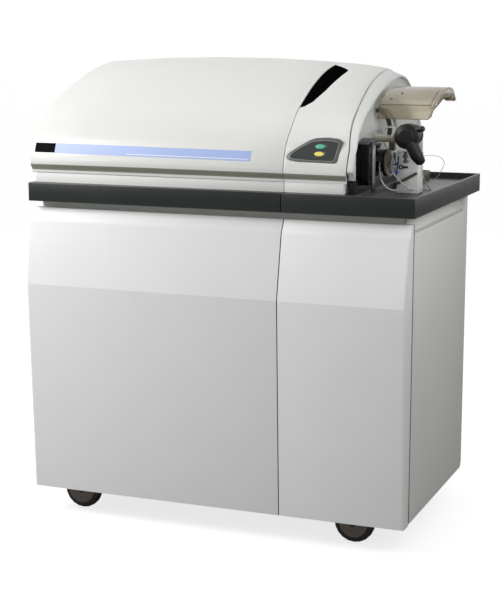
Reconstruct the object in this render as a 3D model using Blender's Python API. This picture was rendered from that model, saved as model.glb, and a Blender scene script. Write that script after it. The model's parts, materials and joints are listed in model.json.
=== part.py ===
"""Floor-standing ICP mass spectrometer.

A cabinet on four casters carries a worktop. Two lift-up hoods cover the vacuum and torch compartments, and
an open sample bay at the right end holds the pump, the spray chamber and their tubing under a visor.
Metres, +X right, +Y to the back, +Z up. The origin is on the floor under the middle of the box.
"""

import math

import bmesh
import bpy
from mathutils import Matrix, Vector

# Running and seating clearances
SEAT = 0.0003
PIN_PLAY = 0.0003
CUT_RUN = 0.020

# Worktop
TOP_WIDTH = 1.240
TOP_DEPTH = 0.800
TOP_HEIGHT = 1.064
TOP_EDGE = 0.057
TOP_SKIN = 0.012
SEAM_IN = 0.404
SEAM_GAP = 0.0025
TRAY_LIP = 0.008
TRAY_DEEP = 0.020
TRAY_FLOOR = 0.006
TRAY_WIDE = 0.1815

# Doors and the line they are measured from: the worktop's front face
DOOR_PROUD = 0.030
FRONT = DOOR_PROUD - (TOP_DEPTH + DOOR_PROUD) / 2
REAR = FRONT + TOP_DEPTH
LEFT = -TOP_WIDTH / 2
RIGHT = LEFT + TOP_WIDTH
TOP_UNDER = TOP_HEIGHT - TOP_EDGE
SEAM_X = RIGHT - SEAM_IN
TRAY_LEFT = RIGHT - TRAY_WIDE
HOOD_SPAN = SEAM_X - LEFT
DOOR_LEFT_IN = 0.002
DOOR_LEFT = LEFT + DOOR_LEFT_IN
DOOR_RIGHT_IN = 0.014
DOOR_RIGHT = RIGHT - DOOR_RIGHT_IN
DOOR_BOTTOM = 0.089
DOOR_REVEAL = 0.022
DOOR_TOP = TOP_UNDER - DOOR_REVEAL
DOOR_SHOULDER_DROP = 0.042
DOOR_SHOULDER = DOOR_TOP - DOOR_SHOULDER_DROP
DOOR_UPPER = 0.193
DOOR_BREAK = DOOR_SHOULDER - DOOR_UPPER
DOOR_FOOT_PROUD = 0.006
DOOR_SHOULDER_SET = 0.007
DOOR_ROUND_RISE = 0.010
DOOR_ROUND_SET = 0.0035
DOOR_TOP_SET = 0.028
DOOR_BACK = 0.042
DOOR_WALL = 0.003
DOOR_GAP = 0.003
DOOR_PIVOT_IN = 0.009
DOOR_PIVOT_SET = 0.030
DOOR_PIN = 0.003
DOOR_PIN_RISE = 0.017
DOOR_PIN_DROP = 0.063
DOOR_LOWER_PIN_Z = DOOR_BOTTOM + DOOR_PIN_RISE
DOOR_UPPER_PIN_Z = DOOR_TOP - DOOR_PIN_DROP
DOOR_PIN_LONG = 0.012
DOOR_BLOCK_HIGH = 0.016
DOOR_BLOCK_OUT = 0.009

# Side panels
SIDE_IN = 0.002
SIDE_FRONT = 0.0475
SIDE_BACK = 0.700
SIDE_THICK = 0.028
SIDE_WALL = 0.003
GRIP_DEEP = 0.020
GRIP_DROP = 0.050
GRIP_BOTTOM = TOP_UNDER - GRIP_DROP
GRIP_END = 0.665
SIDE_NOTCH_RISE = 0.018
SIDE_NOTCH_RUN = 0.012

# Neck between cabinet and worktop
NECK_HIGH = 0.057
NECK_BOTTOM = TOP_UNDER - NECK_HIGH
NECK_WALL = 0.025
NECK_FRONT = 0.046
NECK_BACK = 0.690

# Frame of square tube
TUBE = 0.030
FRAME_BOTTOM = 0.157
FRAME_FRONT = 0.050
FRAME_BACK = 0.684
PAN_THICK = 0.003
CASTER_RAIL = 0.090
TONGUE_HIGH = 0.006
TONGUE_WIDE = 0.025
TONGUE_START = 0.0225
TONGUE_END = 0.004
TONGUE_FRONT = 0.006
TONGUE_REAR = 0.0035

# Casters
WHEEL_R = 0.0625
WHEEL_WIDE = 0.032
HUB_R = 0.038
HUB_WIDE = 0.037
HUB_DISH = 0.004
TYRE_ROUND = 0.006
AXLE_R = 0.005
CASTER_IN = 0.1585
CASTER_X = RIGHT - CASTER_IN
CASTER_TRAIL = 0.0375
CASTER_FRONT = 0.100
CASTER_REAR = 0.600
FORK_PLATE = 0.003
FORK_GAP = 0.0025
FORK_HEAD_R = 0.031
FORK_HEAD_HIGH = 0.009
FORK_CROWN = 0.005
FORK_TIP_R = 0.011
KINGPIN_R = 0.008
KINGPIN_LONG = 0.030
CASTER_PLATE = 0.012
CASTER_PLATE_WIDE = 0.086

# Rear panel
REAR_SHEET = 0.003
REAR_BOTTOM = 0.140
LOUVRE_WIDE = 0.220
LOUVRE_HIGH = 0.006
LOUVRE_PITCH = 0.020
LOUVRE_COUNT = 6
LOUVRE_DROP = 0.310
LOUVRE_LOW = NECK_BOTTOM - LOUVRE_DROP
LOUVRE_IN = 0.360
LOUVRE_X = RIGHT - LOUVRE_IN
PORT_R = 0.021
PORT_PITCH = 0.110
PORT_IN = 0.200
PORT_X = LEFT + PORT_IN
PORT_Z = 0.300

# Hoods: one curved section drawn along X, falling a little to both ends
HOOD_OVER = 0.048
HOOD_BOTTOM = TOP_HEIGHT + HOOD_OVER
HOOD_FRONT_SET = 0.018
HOOD_BACK_SET = 0.785
HOOD_RISE = 0.327
HOOD_WALL = 0.005
HOOD_LIP_BACK = 0.050
HOOD_LIP = 0.005
BAY_WIDE = 0.212
HOOD_RIGHT = RIGHT - BAY_WIDE
CROWN_SHARE = 0.3387
CROWN_X = LEFT + TOP_WIDTH * CROWN_SHARE
CROWN_FALL = 0.090
END_FALL_IN = 0.320
END_FALL_X = RIGHT - END_FALL_IN
END_FALL = 0.036
LEAN_RISE = 0.080
LEAN_Z = HOOD_BOTTOM + LEAN_RISE
END_LEAN_SHARE = 0.278
RIM_LEAN_SHARE = 0.19
WALL_LEAN_SHARE = 0.23
WALL_LEAN_RISE = 0.043
WALL_LEAN_Z = LEAN_Z + WALL_LEAN_RISE
SEAM_LEAN_SHARE = 0.13
SEAM_LEAN_RISE = 0.138
SEAM_LEAN_Z = HOOD_BOTTOM + SEAM_LEAN_RISE
SEAM_REACH = 0.040
HOOD_FRONT_SHARES = (
    (0.022, 0.000), (0.016, 0.020), (0.006, 0.042), (0.000, 0.062), (0.0045, 0.115), (0.0165, 0.195),
    (0.031, 0.270), (0.053, 0.340),
    (0.105, 0.460), (0.180, 0.575), (0.285, 0.690), (0.400, 0.800), (0.520, 0.892), (0.640, 0.958),
    (0.750, 0.994), (0.800, 1.000), (0.850, 0.985), (0.895, 0.940), (0.935, 0.850), (0.962, 0.720),
    (0.978, 0.540), (0.990, 0.300), (1.000, 0.000))
HOOD_SAMPLES = 2
LEAN_ROUNDS = 8
HOOD_STATION_SHARES = (0.0, 0.22, 0.46, 0.70, 0.88, 1.0)

# Hood hinges
HINGE_ROD_R = 0.0035
HINGE_EYE_R = 0.0068
HINGE_BACK = 0.7925
HINGE_DROP = 0.0015
HINGE_Z = HOOD_BOTTOM - HINGE_DROP
HINGE_LUG = 0.030
HINGE_EAR = 0.012
HINGE_BASE = 0.010
LEFT_LUG_SHARES = (0.08, 0.50, 0.92)
RIGHT_LUG_SHARES = (0.18, 0.82)

# Plinths under the hoods
PLINTH_LEFT_IN = 0.013
PLINTH_RIGHT_IN = 0.010
PLINTH_LEFT = LEFT + PLINTH_LEFT_IN
PLINTH_RIGHT = HOOD_RIGHT - PLINTH_RIGHT_IN
PLINTH_FRONT = 0.030
PLINTH_BACK = 0.780
PLINTH_LEDGE = 0.008
PLINTH_TOP = HOOD_BOTTOM - PLINTH_LEDGE
PLINTH_WALL = 0.020
PLINTH_STEP = 0.008

# End panel beside the right hood
END_GAP = 0.0025
END_THICK = 0.0195
END_INNER = 0.006
END_LEFT = HOOD_RIGHT + END_GAP
END_RIM = END_LEFT + END_THICK
END_WALL = END_LEFT + END_INNER
END_SET = 0.003
END_BOTTOM = PLINTH_TOP
END_RAIL_FRONT = 0.048
END_RAIL_STEP = 0.080
END_RAIL_BACK = 0.770
END_RAIL_IN = 0.002
END_RAIL_RIGHT = END_RIM - END_RAIL_IN
ARCH_EDGE = 0.0065
ARCH_NEAR = 0.046
ARCH_FAR = 0.752

# Control bezel and its two buttons on the right hood
BEZEL_RISE = 0.040
BEZEL_HIGH = 0.072
BEZEL_LOW_Z = HOOD_BOTTOM + BEZEL_RISE
BEZEL_HIGH_Z = BEZEL_LOW_Z + BEZEL_HIGH
BEZEL_LOW_SET = 0.0245
BEZEL_HIGH_SET = 0.0585
BEZEL_THICK = 0.012
BEZEL_PROUD = 0.0035
BEZEL_IN = 0.006
BEZEL_LEFT = SEAM_X + BEZEL_IN
BEZEL_WIDE = 0.167
BEZEL_SHARES = (
    (0.010, 0.150), (0.018, 0.270), (0.075, 0.400), (0.225, 0.640), (0.395, 0.880), (0.500, 0.965),
    (0.720, 1.000), (0.922, 0.960), (0.990, 0.870), (0.945, 0.100), (0.905, 0.015), (0.230, 0.030),
    (0.080, 0.070))
BUTTON_IN = 0.1005
BUTTON_X = BEZEL_LEFT + BUTTON_IN
BUTTON_HALF_WIDE = 0.0145
BUTTON_HALF_HIGH = 0.0070
BUTTON_THICK = 0.008
BUTTON_PROUD = 0.0025
BUTTON_PLAY = 0.0005
BUTTON_LOW_SHARE = 0.34
BUTTON_HIGH_SHARE = 0.63
BUTTON_SIDES = 24

# Viewing window in the right hood
WINDOW_WIDE = 0.046
WINDOW_RIGHT = SEAM_X + WINDOW_WIDE
WINDOW_TIP_SET = 0.187
WINDOW_BACK_SET = 0.560
WINDOW_GAP = 0.0003
WINDOW_SHARES = (
    (-0.800, -0.040), (-0.160, -0.020), (0.120, 0.000), (0.460, 0.084), (0.753, 0.279), (0.890, 0.511),
    (0.963, 0.722), (0.975, 0.786), (0.950, 0.822), (0.753, 0.856), (0.170, 0.930), (-0.500, 0.997),
    (-0.800, 1.020))

# Visor
VISOR_OUT = 0.0025
VISOR_LONG = 0.171
VISOR_LEFT = END_WALL + VISOR_OUT
VISOR_RIGHT = VISOR_LEFT + VISOR_LONG
VISOR_WALL = 0.003
VISOR_CHEEK = 0.026
VISOR_HINGE_SET = 0.5535
VISOR_RISE = 0.204
VISOR_HIGH = 0.089
VISOR_HINGE_DROP = 0.038
VISOR_FRONT_Z = TOP_HEIGHT + VISOR_RISE
VISOR_TOP_Z = VISOR_FRONT_Z + VISOR_HIGH
VISOR_HINGE_Z = VISOR_TOP_Z - VISOR_HINGE_DROP
VISOR_ROD_R = 0.004
VISOR_EYE_R = 0.0085
VISOR_EYE = 0.030
VISOR_FRONT_SET = 0.284
VISOR_SHARES = (
    (0.000, 0.000), (0.052, 0.330), (0.085, 0.500), (0.160, 0.640), (0.275, 0.770), (0.430, 0.900),
    (0.600, 0.975), (0.740, 1.000), (0.860, 0.960), (0.950, 0.850), (1.000, 0.660))

# Pump: ribbed housing, rotor with rollers, track and lever
PUMP_BOX_WIDE = 0.0400
PUMP_BOX_RIGHT = END_WALL + PUMP_BOX_WIDE
PUMP_BOX_FRONT = 0.085
PUMP_BOX_BACK = 0.147
PUMP_BOX_RISE = 0.023
PUMP_BOX_HIGH = 0.119
PUMP_BOX_BOTTOM = TOP_HEIGHT + PUMP_BOX_RISE
PUMP_BOX_TOP = PUMP_BOX_BOTTOM + PUMP_BOX_HIGH
PUMP_BOX_SLOPE = 0.014
FIN_PITCH = 0.0056
FIN_SLOT = 0.0026
FIN_DEEP = 0.004
ROTOR_SET = 0.285
ROTOR_RISE = 0.073
ROTOR_Z = TOP_HEIGHT + ROTOR_RISE
ROTOR_DISC_R = 0.041
ROTOR_BACK_R = 0.0300
ROLLER_R = 0.0045
ROLLER_ORBIT = 0.0255
ROLLER_COUNT = 8
ROLLER_TURN = 0.3
ROTOR_BACK_OUT = 0.0113
ROTOR_BACK_X = END_WALL + ROTOR_BACK_OUT
ROTOR_BACK_THICK = 0.003
ROTOR_DISC_OUT = 0.0305
ROTOR_DISC_X = END_WALL + ROTOR_DISC_OUT
ROTOR_DISC_THICK = 0.009
ROTOR_SCREW_R = 0.006
ROTOR_SCREW_HIGH = 0.003
ROTOR_SHAFT_R = 0.006
TRACK_PLATE = 0.0100
TRACK_IN_R = 0.0345
TRACK_OUT_R = 0.0400
TRACK_DISC_R = 0.0415
TRACK_START = 8
TRACK_STOP = 172
TRACK_STEPS = 14
LEVER_SET = 0.226
LEVER_RISE = 0.053
LEVER_Z = ROTOR_Z + LEVER_RISE
LEVER_PIN_R = 0.0025
LEVER_EYE_R = 0.006
LEVER_LONG = 0.023
LEVER_THICK = 0.006
LEVER_OUT = 0.018
LEVER_X = END_WALL + LEVER_OUT
LEVER_WIDE = 0.010

# Torch line
TORCH_SET = 0.262
TORCH_RISE = 0.148
TORCH_Z = TOP_HEIGHT + TORCH_RISE
TORCH_R = 0.010
TORCH_BORE_R = 0.0085
BOX_IN = 0.020
BOX_LEFT = SEAM_X + BOX_IN
TORCH_IN = 0.026
TORCH_LEFT = BOX_LEFT + TORCH_IN
TORCH_HOLE_R = 0.0120
COIL_R = 0.0150
COIL_WIRE = 0.0015
COIL_TURNS = 3
COIL_PITCH = 0.0050
COIL_IN = 0.006
COIL_START = TORCH_LEFT + COIL_IN
COIL_LEG = 0.040
BOX_RIGHT_IN = 0.032
BOX_RIGHT = HOOD_RIGHT - BOX_RIGHT_IN
BOX_FRONT = 0.180
BOX_BACK = 0.350
BOX_RISE = 0.046
BOX_TOP = TORCH_Z + BOX_RISE
BOX_WALL = 0.004
BOX_PORT_R = 0.030
BOX_VIEW_WIDE = 0.080
BOX_VIEW_DEEP = 0.100
COIL_BLOCK = 0.014
COIL_BLOCK_WIDE = 0.030

# Injector adaptor and spray chamber
ADAPTOR_FLANGE_R = 0.019
ADAPTOR_R = 0.0115
ADAPTOR_CAP_R = 0.0135
ADAPTOR_FLANGE = 0.007
ADAPTOR_BODY = 0.050
ADAPTOR_CAP = 0.012
HEAD_OUT = 0.1185
HEAD_RISE = 0.0115
HEAD_X = END_WALL + HEAD_OUT
HEAD_Z = TORCH_Z + HEAD_RISE
HEAD_R = 0.037
HEAD_FRONT = 0.185
HEAD_LONG = 0.100
LEG_R = 0.0155
LEG_OUT = 0.045
LEG_FOOT_X = HEAD_X + LEG_OUT
LEG_FOOT_SET = 0.2050
LEG_DROP = 0.0795
LEG_FOOT_Z = HEAD_Z - LEG_DROP
ELBOW_R = 0.0105
KNOB_R = 0.0090
KNOB_LONG = 0.020
KNOB_RISE = 0.016

# Valve block and its lever
VALVE_OUT = 0.0615
VALVE_WIDE = 0.067
VALVE_LEFT = END_WALL + VALVE_OUT
VALVE_RIGHT = VALVE_LEFT + VALVE_WIDE
VALVE_FRONT = 0.300
VALVE_BACK = 0.360
VALVE_RISE = 0.108
VALVE_TOP = TOP_HEIGHT + VALVE_RISE
VALVE_EDGE = 0.006
HANDLE_IN = 0.015
HANDLE_RISE = 0.060
HANDLE_X = VALVE_LEFT + HANDLE_IN
HANDLE_Z = TOP_HEIGHT + HANDLE_RISE
HANDLE_HUB_R = 0.0065
HANDLE_LONG = 0.021
HANDLE_THICK = 0.005
HANDLE_WIDE = 0.006
HANDLE_PIN_R = 0.003

# Drain trough
TROUGH_IN = 0.0015
TROUGH_LEFT = TRAY_LEFT + TROUGH_IN
TROUGH_WIDE = 0.026
TROUGH_FRONT = 0.440
TROUGH_BACK = 0.740
TROUGH_HIGH = 0.030
TROUGH_WALL = 0.0025

# Tubing
SMALL_TUBE_R = 0.0018
CAPILLARY_R = 0.0009
GAS_TUBE_R = 0.0045
HOSE_R = 0.0075
HOSE_RIB = 0.0012
HOSE_BORE = 0.0045
HOSE_SAMPLES = 6

# Tube routes: right of the end panel's wall, behind the worktop's front face, above the worktop
HOSE_ROUTE = (
    (0.0485, 0.2620, 0.1630), (0.0475, 0.2690, 0.1710), (0.0405, 0.2900, 0.1860), (0.0275, 0.3100, 0.2060),
    (0.0165, 0.3210, 0.2210), (0.0055, 0.3260, 0.2260))
GAS_ROUTE = (
    (0.0745, 0.2620, 0.1620), (0.0725, 0.2680, 0.1710), (0.0595, 0.2900, 0.1880), (0.0445, 0.3120, 0.2080),
    (0.0275, 0.3340, 0.2240), (0.0055, 0.3460, 0.2300))
PUMP_IN_ROUTE = (
    (0.0315, 0.4150, 0.0360), (0.0235, 0.3480, 0.0260))
PUMP_OUT_ROUTE = (
    (0.0275, 0.2530, 0.0240), (0.0435, 0.2560, 0.0010), (0.0625, 0.2680, -0.0080), (0.0695, 0.2860, -0.0080))
DRAIN_ROUTE = (
    (0.1673, 0.2024, 0.0730), (0.1655, 0.2150, 0.0460), (0.1595, 0.2900, 0.0110), (0.1515, 0.3700, -0.0143),
    (0.1135, 0.4150, -0.0161), (0.0735, 0.4250, -0.0161), (0.0635, 0.4650, -0.0029))
RINSE_ROUTE = (
    (0.0625, 0.2620, 0.1260), (0.0615, 0.2600, 0.1010), (0.0535, 0.2680, 0.0615), (0.0625, 0.2720, 0.0390),
    (0.0835, 0.2760, 0.0160), (0.1115, 0.2820, -0.0040), (0.1195, 0.2900, -0.0040))
CAPILLARY_ROUTE = (
    (0.1699, 0.2100, 0.1030), (0.1725, 0.2500, 0.1020), (0.1735, 0.2900, 0.0990), (0.1755, 0.3700, 0.0880),
    (0.1735, 0.4400, 0.0640), (0.1575, 0.4600, 0.0360), (0.1435, 0.4700, 0.0160), (0.1055, 0.4700, -0.0080),
    (0.0635, 0.4690, -0.0080), (0.0575, 0.4690, -0.0080))
PUMP_INLET_SETS = (0.4640, 0.4600)
HOSE_TOP_SET = 0.3260
HOSE_TOP_RISE = 0.2260
GAS_TOP_SET = 0.3460
GAS_TOP_RISE = 0.2300
DRAIN_END_SET = 0.4650

# Vacuum line under the left hood
CHAMBER_LEFT_SHARE = 0.2392
CHAMBER_RIGHT_SHARE = 0.8852
CHAMBER_LEFT = LEFT + HOOD_SPAN * CHAMBER_LEFT_SHARE
CHAMBER_RIGHT = LEFT + HOOD_SPAN * CHAMBER_RIGHT_SHARE
CHAMBER_LONG = CHAMBER_RIGHT - CHAMBER_LEFT
CHAMBER_FRONT = 0.160
CHAMBER_BACK = 0.364
CHAMBER_RISE = 0.056
CHAMBER_TOP = TORCH_Z + CHAMBER_RISE
CHAMBER_BORE = 0.048
CHAMBER_STUB_R = 0.055
CHAMBER_STUB_BORE = 0.040
COVER_THICK = 0.014
COVER_EDGE = 0.012
BOLT_R = 0.006
BOLT_HIGH = 0.005
BOLT_COLUMNS = 5
DETECTOR_R = 0.078
DETECTOR_SHARE = 0.60
DETECTOR_LONG = (CHAMBER_LEFT - LEFT) * DETECTOR_SHARE
DETECTOR_FLANGE = 0.012
DETECTOR_FLANGE_R = 0.088
CONE_BASE_R = 0.032
CONE_TIP_R = 0.003
CONE_BORE_R = 0.0008
CONE_LONG = 0.030
FACE_FLANGE_R = 0.090
FACE_FLANGE = 0.014
FACE_BODY_R = 0.062
PUMP_R = 0.080
PUMP_FLANGE_R = 0.092
PUMP_FLANGE = 0.012
PUMP_LONG = 0.170
PUMP_DROP = 0.022
PUMP_LEFT_SHARE = 0.2778
PUMP_RIGHT_SHARE = 0.7593
PUMP_TOP = TOP_UNDER - PUMP_DROP
PUMP_LEFT_X = CHAMBER_LEFT + CHAMBER_LONG * PUMP_LEFT_SHARE
PUMP_RIGHT_X = CHAMBER_LEFT + CHAMBER_LONG * PUMP_RIGHT_SHARE

# Cabinet equipment
RACK_LEFT_IN = 0.085
RACK_RIGHT_IN = 0.296
RACK_LEFT = LEFT + RACK_LEFT_IN
RACK_RIGHT = SEAM_X - RACK_RIGHT_IN
RACK_FRONT = 0.110
RACK_BACK = 0.560
RACK_HIGH = 0.340
RACK_WALL = 0.010
CARD_COUNT = 10
CARD_GAP = 0.004
GENERATOR_LEFT_IN = 0.054
GENERATOR_RIGHT_IN = 0.100
GENERATOR_LEFT = SEAM_X + GENERATOR_LEFT_IN
GENERATOR_RIGHT = RIGHT - GENERATOR_RIGHT_IN
GENERATOR_FRONT = 0.110
GENERATOR_BACK = 0.560
GENERATOR_HIGH = 0.420
GENERATOR_WALL = 0.006
GENERATOR_SLOTS = 8

# Mains inlet and switch at the back
INLET_IN = 0.200
INLET_X = RIGHT - INLET_IN
INLET_Z = 0.300
INLET_WIDE = 0.120
INLET_HIGH = 0.080
INLET_DEEP = 0.040
INLET_LIP = 0.006
INLET_WALL = 0.003
SOCKET_WIDE = 0.034
SOCKET_HIGH = 0.026
SOCKET_DEEP = 0.022
SWITCH_WIDE = 0.026
SWITCH_HIGH = 0.034
SWITCH_TILT = 10
SWITCH_PLAY = 0.0012
SWITCH_DEEP = 0.012
SWITCH_PIN_R = 0.002

TURN_STEPS = 20
MID_STEPS = 14
SMALL_STEPS = 12
FEW_STEPS = 8
HALF_STEP = 0.5


def clear_scene():
    for thing in list(bpy.data.objects):
        bpy.data.objects.remove(thing, do_unlink=True)


def give_finish(obj, colour, roughness, metallic):
    """Gives an object its own Principled material."""
    mat = bpy.data.materials.new(obj.name)
    mat.use_nodes = True
    shader = mat.node_tree.nodes["Principled BSDF"]
    shader.inputs["Base Color"].default_value = (*colour, 1.0)
    shader.inputs["Roughness"].default_value = roughness
    shader.inputs["Metallic"].default_value = metallic
    obj.data.materials.clear()
    obj.data.materials.append(mat)
    return obj


def solid(name, points, faces, smooth=False):
    """Makes an object from points and faces, with its faces pointing out."""
    mesh = bpy.data.meshes.new(name)
    mesh.from_pydata([tuple(p) for p in points], [], faces)
    work = bmesh.new()
    work.from_mesh(mesh)
    bmesh.ops.recalc_face_normals(work, faces=work.faces)
    work.to_mesh(mesh)
    work.free()
    if smooth:
        mesh.shade_smooth()
        mesh.set_sharp_from_angle(angle=math.radians(35))
    obj = bpy.data.objects.new(name, mesh)
    bpy.context.collection.objects.link(obj)
    return obj


def along(axis, low, u, v):
    """Puts a flat point (u, v) at a station along the named axis."""
    if axis == "X":
        return (low, u, v)
    if axis == "Y":
        return (u, low, v)
    return (u, v, low)


def prism(name, outline, axis, low, high, smooth=False):
    """Draws a closed outline along an axis from low to high."""
    count = len(outline)
    points = [along(axis, low, u, v) for u, v in outline] + [along(axis, high, u, v) for u, v in outline]
    faces = [tuple(range(count)), tuple(range(2 * count - 1, count - 1, -1))]
    for i in range(count):
        j = (i + 1) % count
        faces.append((i, j, count + j, count + i))
    return solid(name, points, faces, smooth)


def box(name, low, high):
    outline = [(low[0], low[1]), (high[0], low[1]), (high[0], high[1]), (low[0], high[1])]
    return prism(name, outline, "Z", low[2], high[2])


def turned(name, profile, centre, axis, steps=TURN_STEPS, direction=None, phase=HALF_STEP):
    """Turns (radius, distance) pairs about an axis through centre.

    A profile that starts and ends at radius 0 is closed by flat faces, or by a point where it isn't flat there.
    """
    capped = profile[0][0] == 0
    ends = []
    if capped:
        ends = [profile[0], profile[-1]]
        profile = profile[1:-1]
    points, rings = [], []
    for radius, distance in profile:
        rings.append(list(range(len(points), len(points) + steps)))
        for k in range(steps):
            a = 2 * math.pi * (k + phase) / steps
            points.append(Vector((radius * math.cos(a), radius * math.sin(a), distance)))
    faces = []
    for i in range(len(rings) - (1 if capped else 0)):
        low, high = rings[i], rings[(i + 1) % len(rings)]
        for k in range(steps):
            n = (k + 1) % steps
            faces.append((low[k], low[n], high[n], high[k]))
    for end, ring, station in zip(ends, (rings[0], rings[-1]), (profile[0], profile[-1])):
        if end[1] == station[1]:
            faces.append(tuple(ring))
            continue
        points.append(Vector((0, 0, end[1])))
        faces += [(ring[k], ring[(k + 1) % steps], len(points) - 1) for k in range(steps)]
    way = direction or {"X": Vector((1, 0, 0)), "Y": Vector((0, 1, 0)), "Z": Vector((0, 0, 1))}[axis]
    turn = way.to_track_quat("Z", "Y").to_matrix()
    return solid(name, [turn @ p + Vector(centre) for p in points], faces, smooth=True)


def rod(name, radius, centre, axis, low, high, steps=TURN_STEPS):
    """A plain round bar between two stations of its axis."""
    return turned(name, [(0, low), (radius, low), (radius, high), (0, high)], centre, axis, steps)


def smooth_route(points, samples):
    """Reads a smooth curve through the route's own points."""
    route = [Vector(p) for p in points]
    route = [2 * route[0] - route[1]] + route + [2 * route[-1] - route[-2]]
    out = []
    for i in range(1, len(route) - 2):
        a, b, c, d = route[i - 1:i + 3]
        for k in range(samples):
            t = k / samples
            out.append(0.5 * ((2 * b) + (c - a) * t + (2 * a - 5 * b + 4 * c - d) * t * t
                              + (3 * b - a - 3 * c + d) * t ** 3))
    out.append(route[-2])
    return out


def swept(name, route, radii, sides, bore=0):
    """A tube along a route, with a radius for each point and an open bore if one is given."""
    frames = []
    side = Vector((0, 0, 1)) if abs((route[1] - route[0]).normalized().z) < 0.9 else Vector((0, 1, 0))
    for i, point in enumerate(route):
        ahead = route[min(i + 1, len(route) - 1)] - route[max(i - 1, 0)]
        ahead.normalize()
        side = (side - ahead * side.dot(ahead)).normalized()
        frames.append((point, side, ahead.cross(side)))
    walls = [radii] + ([[bore] * len(route)] if bore else [])
    points, rings = [], []
    for wall in walls:
        rows = []
        for (point, u, v), radius in zip(frames, wall):
            rows.append(list(range(len(points), len(points) + sides)))
            for k in range(sides):
                a = 2 * math.pi * k / sides
                points.append(point + u * (radius * math.cos(a)) + v * (radius * math.sin(a)))
        rings.append(rows)
    faces = []
    for rows in rings:
        for low, high in zip(rows, rows[1:]):
            for k in range(sides):
                n = (k + 1) % sides
                faces.append((low[k], low[n], high[n], high[k]))
    for end in (0, -1):
        if bore:
            for k in range(sides):
                n = (k + 1) % sides
                faces.append((rings[0][end][k], rings[0][end][n], rings[1][end][n], rings[1][end][k]))
        else:
            faces.append(tuple(rings[0][end]))
    return solid(name, points, faces, smooth=True)


def boolean(obj, other, operation):
    mod = obj.modifiers.new(other.name, "BOOLEAN")
    mod.operation = operation
    mod.object = other
    mod.solver = "EXACT"
    other.hide_render = True
    other.display_type = "WIRE"
    return obj


def cut(obj, *tools):
    for tool in tools:
        boolean(obj, tool, "DIFFERENCE")
    return obj


def fuse(obj, *pieces):
    for piece in pieces:
        boolean(obj, piece, "UNION")
    return obj


def pivot(name, place):
    """An empty on a joint's axis, which carries the pieces that move with it."""
    empty = bpy.data.objects.new(name, None)
    empty.location = place
    bpy.context.collection.objects.link(empty)
    return empty


def carry(empty, *pieces):
    for piece in pieces:
        piece.parent = empty
        piece.matrix_parent_inverse = Matrix.Translation(-Vector(empty.location))
    return pieces[0]


def merge_flats(obj):
    """Joins the flat faces that many unions have split."""
    mod = obj.modifiers.new("flats", "DECIMATE")
    mod.decimate_type = "DISSOLVE"
    mod.angle_limit = math.radians(0.5)
    return obj


def bevel(obj, width, segments=2):
    mod = obj.modifiers.new("edges", "BEVEL")
    mod.width = width
    mod.segments = segments
    mod.limit_method = "ANGLE"
    mod.angle_limit = math.radians(40)
    return obj


# Worktop and neck

def make_worktop():
    low = TOP_UNDER
    left = box("left_worktop", (LEFT, FRONT, low), (SEAM_X - SEAM_GAP / 2, REAR, TOP_HEIGHT))
    right = box("right_tray", (SEAM_X + SEAM_GAP / 2, FRONT, low), (RIGHT, REAR, TOP_HEIGHT))
    side_low = DOOR_LEFT + SIDE_IN + SIDE_THICK + NECK_WALL
    side_high = DOOR_RIGHT - SIDE_IN - SIDE_THICK - NECK_WALL
    near = FRONT + NECK_FRONT + NECK_WALL
    far = FRONT + NECK_BACK - NECK_WALL
    seam_wall = TOP_SKIN
    cut(left, box("left_hollow", (side_low, near, low - CUT_RUN),
                  (SEAM_X - SEAM_GAP / 2 - seam_wall, far, TOP_HEIGHT - TOP_SKIN)))
    cut(right, box("right_hollow", (SEAM_X + SEAM_GAP / 2 + seam_wall, near, low - CUT_RUN),
                   (side_high, far, TOP_HEIGHT - TRAY_DEEP - TRAY_FLOOR)))
    cut(right, box("tray_sink", (TRAY_LEFT, FRONT + TRAY_LIP, TOP_HEIGHT - TRAY_DEEP),
                   (RIGHT - TRAY_LIP, REAR - TRAY_LIP, TOP_HEIGHT + CUT_RUN)))
    for x in (PUMP_LEFT_X, PUMP_RIGHT_X):
        cut(left, rod("stub_hole", CHAMBER_STUB_R + SEAT, (x, chamber_axis(), 0), "Z",
                      low - CUT_RUN, TOP_HEIGHT + CUT_RUN))
    merge_flats(left)
    give_finish(left, (0.028, 0.032, 0.031), 0.42, 0.0)
    give_finish(right, (0.028, 0.032, 0.031), 0.42, 0.0)


def chamber_axis():
    return FRONT + TORCH_SET


def ring_box(name, low, high, wall):
    """A four-sided wall, open at top and bottom."""
    ring = box(name, low, high)
    inner_low = (low[0] + wall, low[1] + wall, low[2] - CUT_RUN)
    inner_high = (high[0] - wall, high[1] - wall, high[2] + CUT_RUN)
    return cut(ring, box(name + "_core", inner_low, inner_high))


def frame_sides():
    """The faces of the frame and neck, just inside the side panels."""
    gap = SEAT
    return DOOR_LEFT + SIDE_IN + SIDE_THICK + gap, DOOR_RIGHT - SIDE_IN - SIDE_THICK - gap


def make_neck():
    left, right = frame_sides()
    neck = ring_box("neck_frame", (left, FRONT + NECK_FRONT, NECK_BOTTOM),
                    (right, FRONT + NECK_BACK, TOP_UNDER - SEAT), NECK_WALL)
    give_finish(neck, (0.078, 0.082, 0.071), 0.6, 0.0)


# Cabinet

def door_pivots():
    """The two doors' vertical axes, with the side that each door lies on."""
    y = FRONT + DOOR_PIVOT_SET
    return ((DOOR_LEFT + DOOR_PIVOT_IN, y, 1), (DOOR_RIGHT - DOOR_PIVOT_IN, y, -1))


def square_box(name, x0, x1, y0, y1, z0, z1):
    return box(name, (min(x0, x1), y0, z0), (max(x0, x1), y1, z1))


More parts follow.
